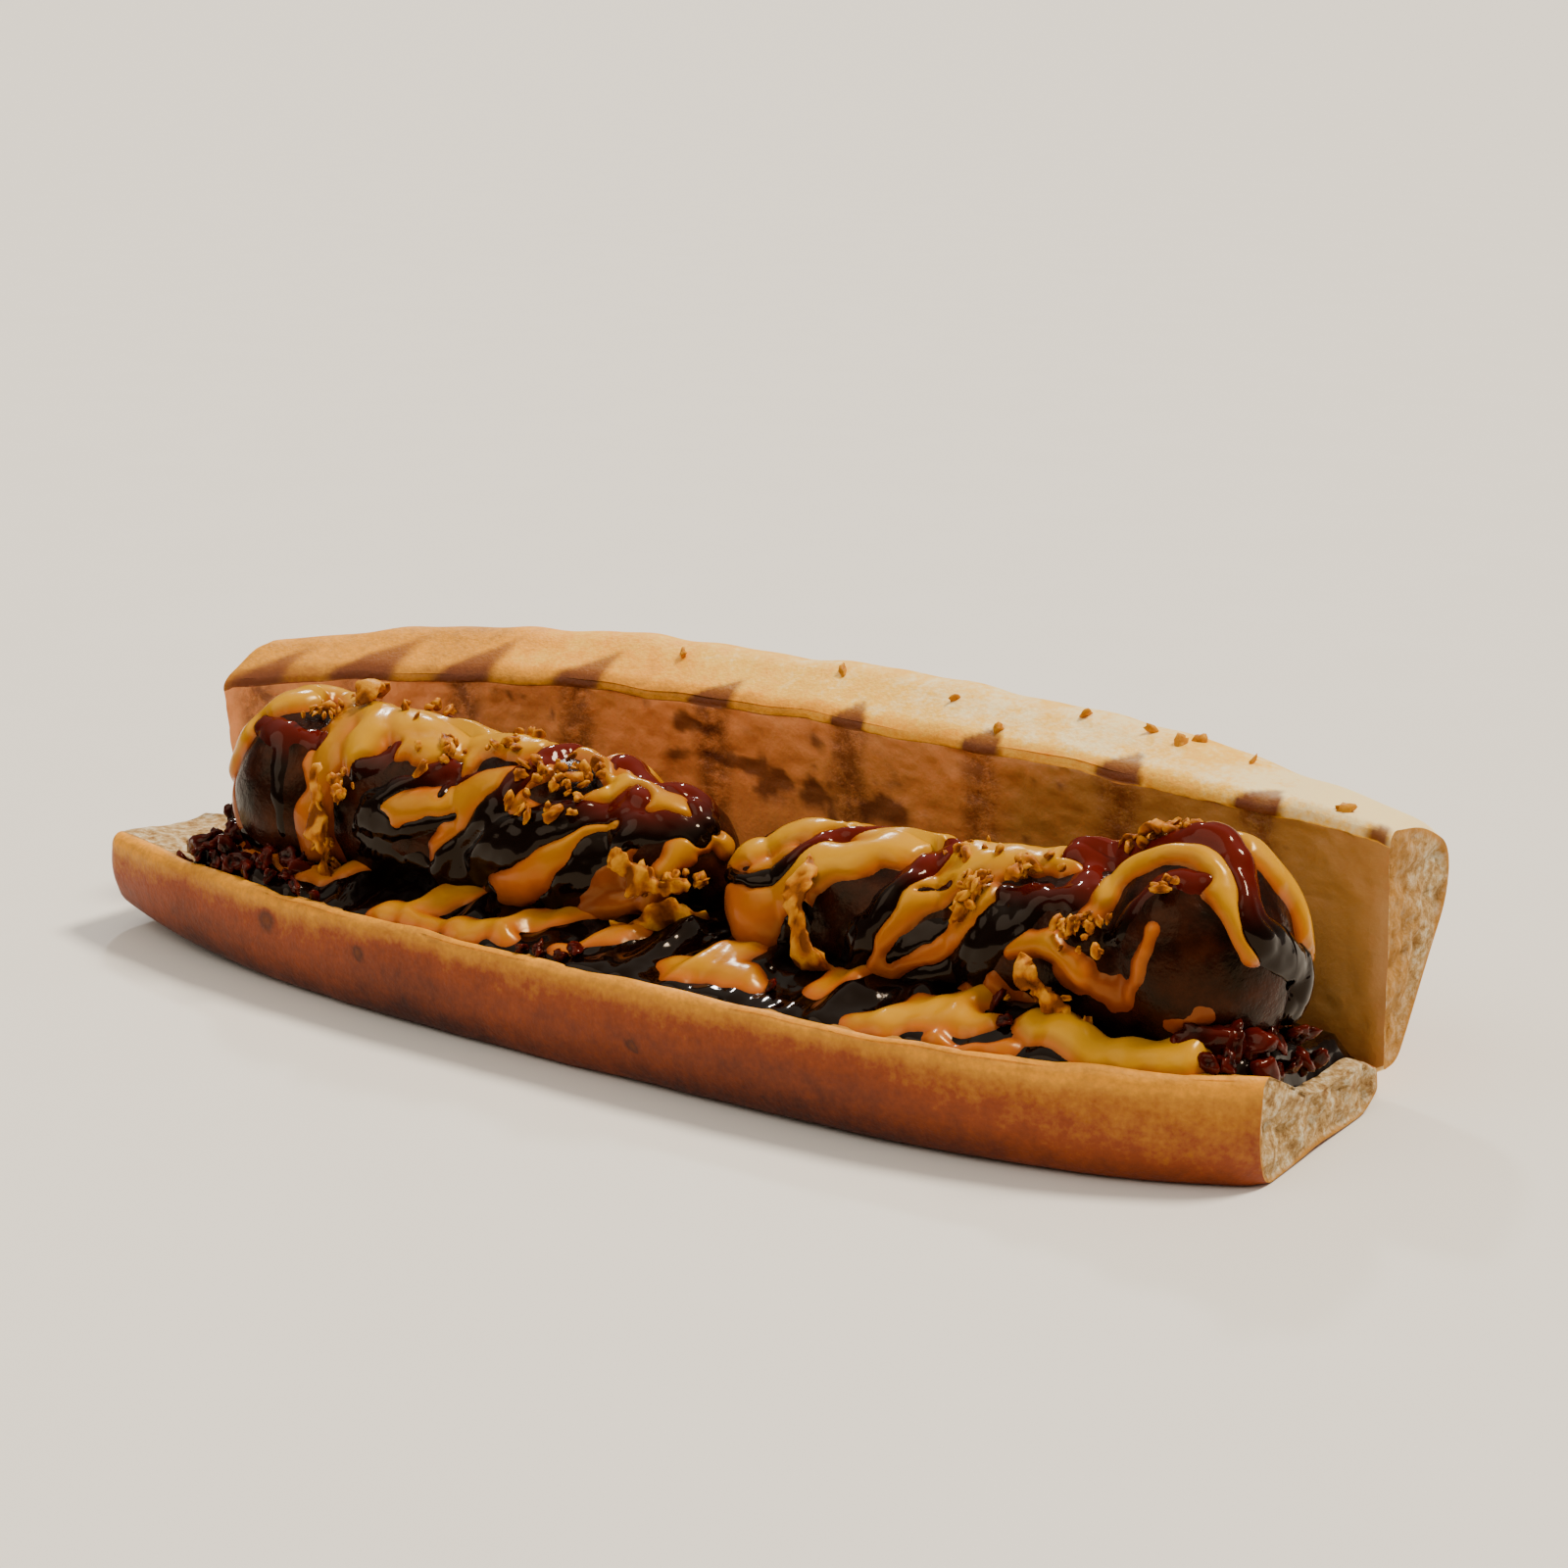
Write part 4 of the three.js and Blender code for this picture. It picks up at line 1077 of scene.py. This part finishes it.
def pool_surface(spacing):
    """The pool's upper surface, the way up from it, and the cheese that has run over it."""
    stations = np.linspace(POOL_FROM, POOL_TO, int((POOL_TO - POOL_FROM) / spacing))
    across = np.linspace(0, 1, int(64 / spacing))
    rows = []
    for x in stations:
        front, back = lower_front(x), float(along(LOWER_BACK, x))
        ending = math.sqrt(max(0.0, 1 - (x / (HALF_LENGTH + 2)) ** 12))
        lumps = POOL_LUMP * uneven(x * 2.6, 0.4, 2.2)
        edge = front + POOL_INSET + 1.5 * (1 - ending) + 0.8 * uneven(x * 3, 1, 0.4)
        low = LOWER_FLOOR + 2
        front_level = low + (POOL_FRONT - low) * ending + lumps
        side_level = low + (POOL_SIDE - low) * ending + 2 * lumps
        back_level = LOWER_FLOOR + 1.5 + (POOL_BACK - LOWER_FLOOR - 1.5) * ending - 0.5 * lumps
        axis_y = FILLING_Y + FILLING_SKEW * x
        profile_y = [edge, edge + 1.2, axis_y - 0.8 * RADIUS, FILLING_Y, back - 9, back - 6]
        profile_z = [front_level - 1.6, front_level, side_level, side_level, back_level, LOWER_FLOOR + 0.6]
        y = edge + across * (back - 6 - edge)
        rows.append(np.column_stack([np.full(len(y), x), y, np.interp(y, profile_y, profile_z)]))
    surface = np.array(rows)
    surface[..., 2] = softened(surface[..., 2], 3, False)
    flat = surface * (1, 1, 0)
    surface[..., 2] += 0.9 * soft_noise(flat, 9, 81) + 0.45 * soft_noise(flat, 4.5, 85)
    surface[:, 0, 2] -= 4
    surface[:, -1, 2] -= 4
    thinning = smooth(POOL_FROM, POOL_FROM + POOL_THINS_LEFT, stations)
    thinning = thinning * smooth(POOL_TO, POOL_TO - POOL_THINS_RIGHT, stations)
    bed = LOWER_FLOOR - 1
    surface[..., 2] = bed + (surface[..., 2] - bed) * thinning[:, None]
    up = np.zeros(surface.shape)
    up[..., 2] = 1

    def on_pool(places):
        nearest = [np.argmin(np.sum((surface[..., :2] - place) ** 2, axis=-1)) for place in through(places)]
        return surface.reshape(-1, 3)[nearest]

    cheese = softened(poured(surface, POOL_RIBBONS, 241, on_pool), 2, False)
    return surface, up, cheese


# Fried onion


def onion_strip(place, seed):
    """A crinkled strip of fried onion along the filling, as rings of points with a fold value."""
    x, angle, heading, length, width, curl = place
    rng = np.random.default_rng(seed)
    steps, sides = 34, 18
    turn = math.radians(heading)
    reach = np.linspace(-0.5, 0.5, steps) * length
    wander = width * 0.25 * np.sin(np.linspace(0, 5, steps) + rng.uniform(0, 6))
    path_x = x + reach * math.cos(turn) + wander * math.sin(turn)
    path_angle = math.radians(angle) - (reach * math.sin(turn) - wander * math.cos(turn)) / RADIUS
    ends = sausage_for(x)
    points, out = sausage_surface(ends, np.clip(path_x, ends[0] + 1, ends[1] - 1), path_angle)
    ahead = np.gradient(points, axis=0)
    ahead /= np.linalg.norm(ahead, axis=1, keepdims=True)
    across = np.cross(out, ahead)
    share = np.linspace(-1, 1, steps)
    swell = np.sqrt(np.maximum(0.02, 1 - share**2)) * (0.85 + 0.3 * np.sin(share * 7 + seed))
    lift = 3.2 + curl * 0.4 * (1 + np.sin(share * 4 + seed * 1.3))
    ring = np.linspace(0, 2 * math.pi, sides, endpoint=False)
    side, rise = np.cos(ring), np.sin(ring)
    flat = 0.5 * width * swell[:, None] * side[None, :]
    cup = 0.9 * (side[None, :] ** 2) * np.sin(share * 9 + seed)[:, None]
    tall = swell[:, None] * rise[None, :] + cup
    body = (points + out * lift[:, None])[:, None, :] + across[:, None, :] * flat[..., None]
    body = body + out[:, None, :] * tall[..., None]
    wrinkle = fractal(body, 2.0, seed + 7)
    away = body - body.mean(axis=1, keepdims=True)
    away /= np.maximum(np.linalg.norm(away, axis=-1, keepdims=True), 1e-6)
    body = body + away * (0.95 * wrinkle)[..., None]
    for end in (0, -1):
        body[end] = body[end].mean(axis=0)
    # Painted light and shade, partly: the fold value rises on raised crinkles and on the strip's upper side
    return body, np.clip(0.45 + 0.9 * wrinkle + 0.15 * rise[None, :], 0, 1)


def crumb_ball(rng, size, fineness=2):
    """A small craggy crumb: its points and triangles."""
    work = bmesh.new()
    bmesh.ops.create_icosphere(work, subdivisions=fineness, radius=1.0)
    points = np.array([v.co[:] for v in work.verts])
    faces = np.array([[v.index for v in f.verts] for f in work.faces])
    work.free()
    shifted = points + rng.uniform(-50, 50, 3)
    craggy = points * (1 + 0.6 * fractal(shifted, 0.8, int(rng.integers(1e6))))[:, None]
    stretched = craggy * size * rng.uniform([0.8, 0.55, 0.35], [1.4, 1.0, 0.7])
    turned = stretched @ np.array(Euler(rng.uniform(0, 6.3, 3)).to_matrix())
    # Painted light and shade, partly: raised crags get a higher fold value than hollows
    fold = np.clip(0.5 + 1.2 * (np.linalg.norm(craggy, axis=1) - 1), 0, 1)
    return turned, faces, fold


class HOTDOG_OT_onion(Operator):
    """Makes the pieces and crumbs of fried onion"""

    bl_idname = "hotdog.onion"
    bl_label = "Fried onion"

    def execute(self, context):
        settings = context.scene.hotdog_onion
        fried = crisp_fried_onion(settings)
        for i, place in enumerate(ONIONS, start=1):
            body, fold = onion_strip(place, 300 + i)
            made = mesh_object(
                f"onion_piece_{i}", body, grid_faces(*body.shape[:2], True), [fried], values={"fold": fold}
            )
            settle(made, "onion", f"fried_onion_{i}")
        rng = np.random.default_rng(17)
        parts = []
        for x, angle, spread, count in CRUMB_GROUPS:
            for _ in range(round(count * settings.crumbs)):
                at_x = x + rng.normal(0, spread * 0.5)
                at_angle = math.radians(angle) + rng.normal(0, spread * 0.5) / RADIUS
                ends = sausage_for(at_x)
                at_x = np.array([min(max(at_x, ends[0] + 2), ends[1] - 2)])
                point, out = sausage_surface(ends, at_x, np.array([at_angle]))
                size = rng.uniform(*CRUMB_SIZE)
                ball, faces, fold = crumb_ball(rng, size)
                parts.append((ball + point[0] + out[0] * (2.1 + 0.25 * size), faces, {"fold": fold}))
        for x, back in FLAKES:
            ball, faces, fold = crumb_ball(rng, rng.uniform(*FLAKE_SIZE))
            corners = upper_corners(float(x))
            outline, _ = rounded_outline(corners, straight_counts(corners, 1.0))
            outline = outline[outline[:, 1] > UPPER_FACE_TOP[0] - 4]
            y = corners[7][0] + back
            z = np.max(outline[np.abs(outline[:, 0] - y) < 1.2, 1])
            parts.append((ball + (x, y, z + 0.1), faces, {"fold": 0.7 + 0.3 * fold}))
        points, faces, values = joined(parts)
        made = mesh_object("onion_crumbs", points, faces, [fried], values=values)
        settle(made, "onion")
        return {"FINISHED"}


class HOTDOG_OT_stage(Operator):
    """Makes the floor, the lights and the camera"""

    bl_idname = "hotdog.stage"
    bl_label = "Stage"

    def execute(self, context):
        settings = context.scene.hotdog_stage
        scene = context.scene
        if not settings.lens > 0:
            raise ValueError("The camera needs a focal length above 0")
        bpy.ops.mesh.primitive_plane_add(size=FLOOR_SIDE)
        floor = context.object
        floor.name = "floor"
        floor.data.materials.append(rolled_matt_paint(settings))
        scene.world = scene.world or bpy.data.worlds.new("studio")
        scene.world.use_nodes = True
        background = scene.world.node_tree.nodes["Background"]
        tree = scene.world.node_tree
        towards = add_node(tree, "ShaderNodeTexCoord").outputs["Generated"]
        height = add_node(tree, "ShaderNodeSeparateXYZ", {"Vector": towards}).outputs["Z"]
        stops = ((0.0, "#B9AFA2"), (0.12, "#8C7E70"), (0.4, "#8C7C6A"), (0.8, "#FFF6E6"))
        tree.links.new(ramp_of(tree, height, stops), background.inputs["Color"])
        background.inputs["Strength"].default_value = settings.sky
        lights = (
            ("key", (0.32, 0.42, 0.85), 14, settings.key, "#FFF3E0"),
            ("fill", (-0.35, -0.6, 0.72), 50, settings.fill, "#FFF8F0"),
            ("spark", (-0.5, 0.62, 0.6), 4, settings.spark, "#FFFFFF"),
        )
        for name, towards, spread, strength, colour in lights:
            light = bpy.data.lights.new(name, "SUN")
            light.energy, light.angle, light.color = strength, math.radians(spread), linear(colour)[:3]
            lamp = bpy.data.objects.new(name, light)
            lamp.rotation_euler = Vector(towards).to_track_quat("Z", "Y").to_euler()
            scene.collection.objects.link(lamp)
        data = bpy.data.cameras.new("camera")
        data.lens, data.sensor_width, data.shift_y = settings.lens, CAMERA_SENSOR, CAMERA_SHIFT
        camera = bpy.data.objects.new("camera", data)
        camera.location = CAMERA_PLACE
        camera.rotation_euler = Euler((math.radians(90 + CAMERA_PITCH), 0, math.radians(CAMERA_TURN)))
        scene.collection.objects.link(camera)
        scene.camera = camera
        return {"FINISHED"}


class HOTDOG_PT_panel(Panel):
    """Lists the steps and their settings in the sidebar"""

    bl_idname = "HOTDOG_PT_panel"
    bl_label = "Hot dog"
    bl_space_type = "VIEW_3D"
    bl_region_type = "UI"
    bl_category = "Hot dog"

    def draw(self, context):
        for settings, operator in STEPS:
            box = self.layout.box()
            group = getattr(context.scene, settings)
            for key in group.bl_rna.properties.keys():
                if key not in ("rna_type", "name"):
                    box.prop(group, key)
            box.operator(operator)


STEPS = (
    ("hotdog_roll", "hotdog.roll"),
    ("hotdog_filling", "hotdog.filling"),
    ("hotdog_onion", "hotdog.onion"),
    ("hotdog_stage", "hotdog.stage"),
)
GROUPS = {
    "hotdog_roll": HotDogRollSettings,
    "hotdog_filling": HotDogFillingSettings,
    "hotdog_onion": HotDogOnionSettings,
    "hotdog_stage": HotDogStageSettings,
}
CLASSES = (
    *GROUPS.values(),
    HOTDOG_OT_roll,
    HOTDOG_OT_filling,
    HOTDOG_OT_onion,
    HOTDOG_OT_stage,
    HOTDOG_PT_panel,
)


def register():
    for cls in CLASSES:
        bpy.utils.register_class(cls)
    for name, group in GROUPS.items():
        setattr(bpy.types.Scene, name, PointerProperty(type=group))


def unregister():
    for name in GROUPS:
        delattr(bpy.types.Scene, name)
    for cls in reversed(CLASSES):
        bpy.utils.unregister_class(cls)


def main():
    register()
    bpy.ops.hotdog.roll()
    bpy.ops.hotdog.filling()
    bpy.ops.hotdog.onion()
    bpy.ops.hotdog.stage()


if __name__ == "__main__":
    main()
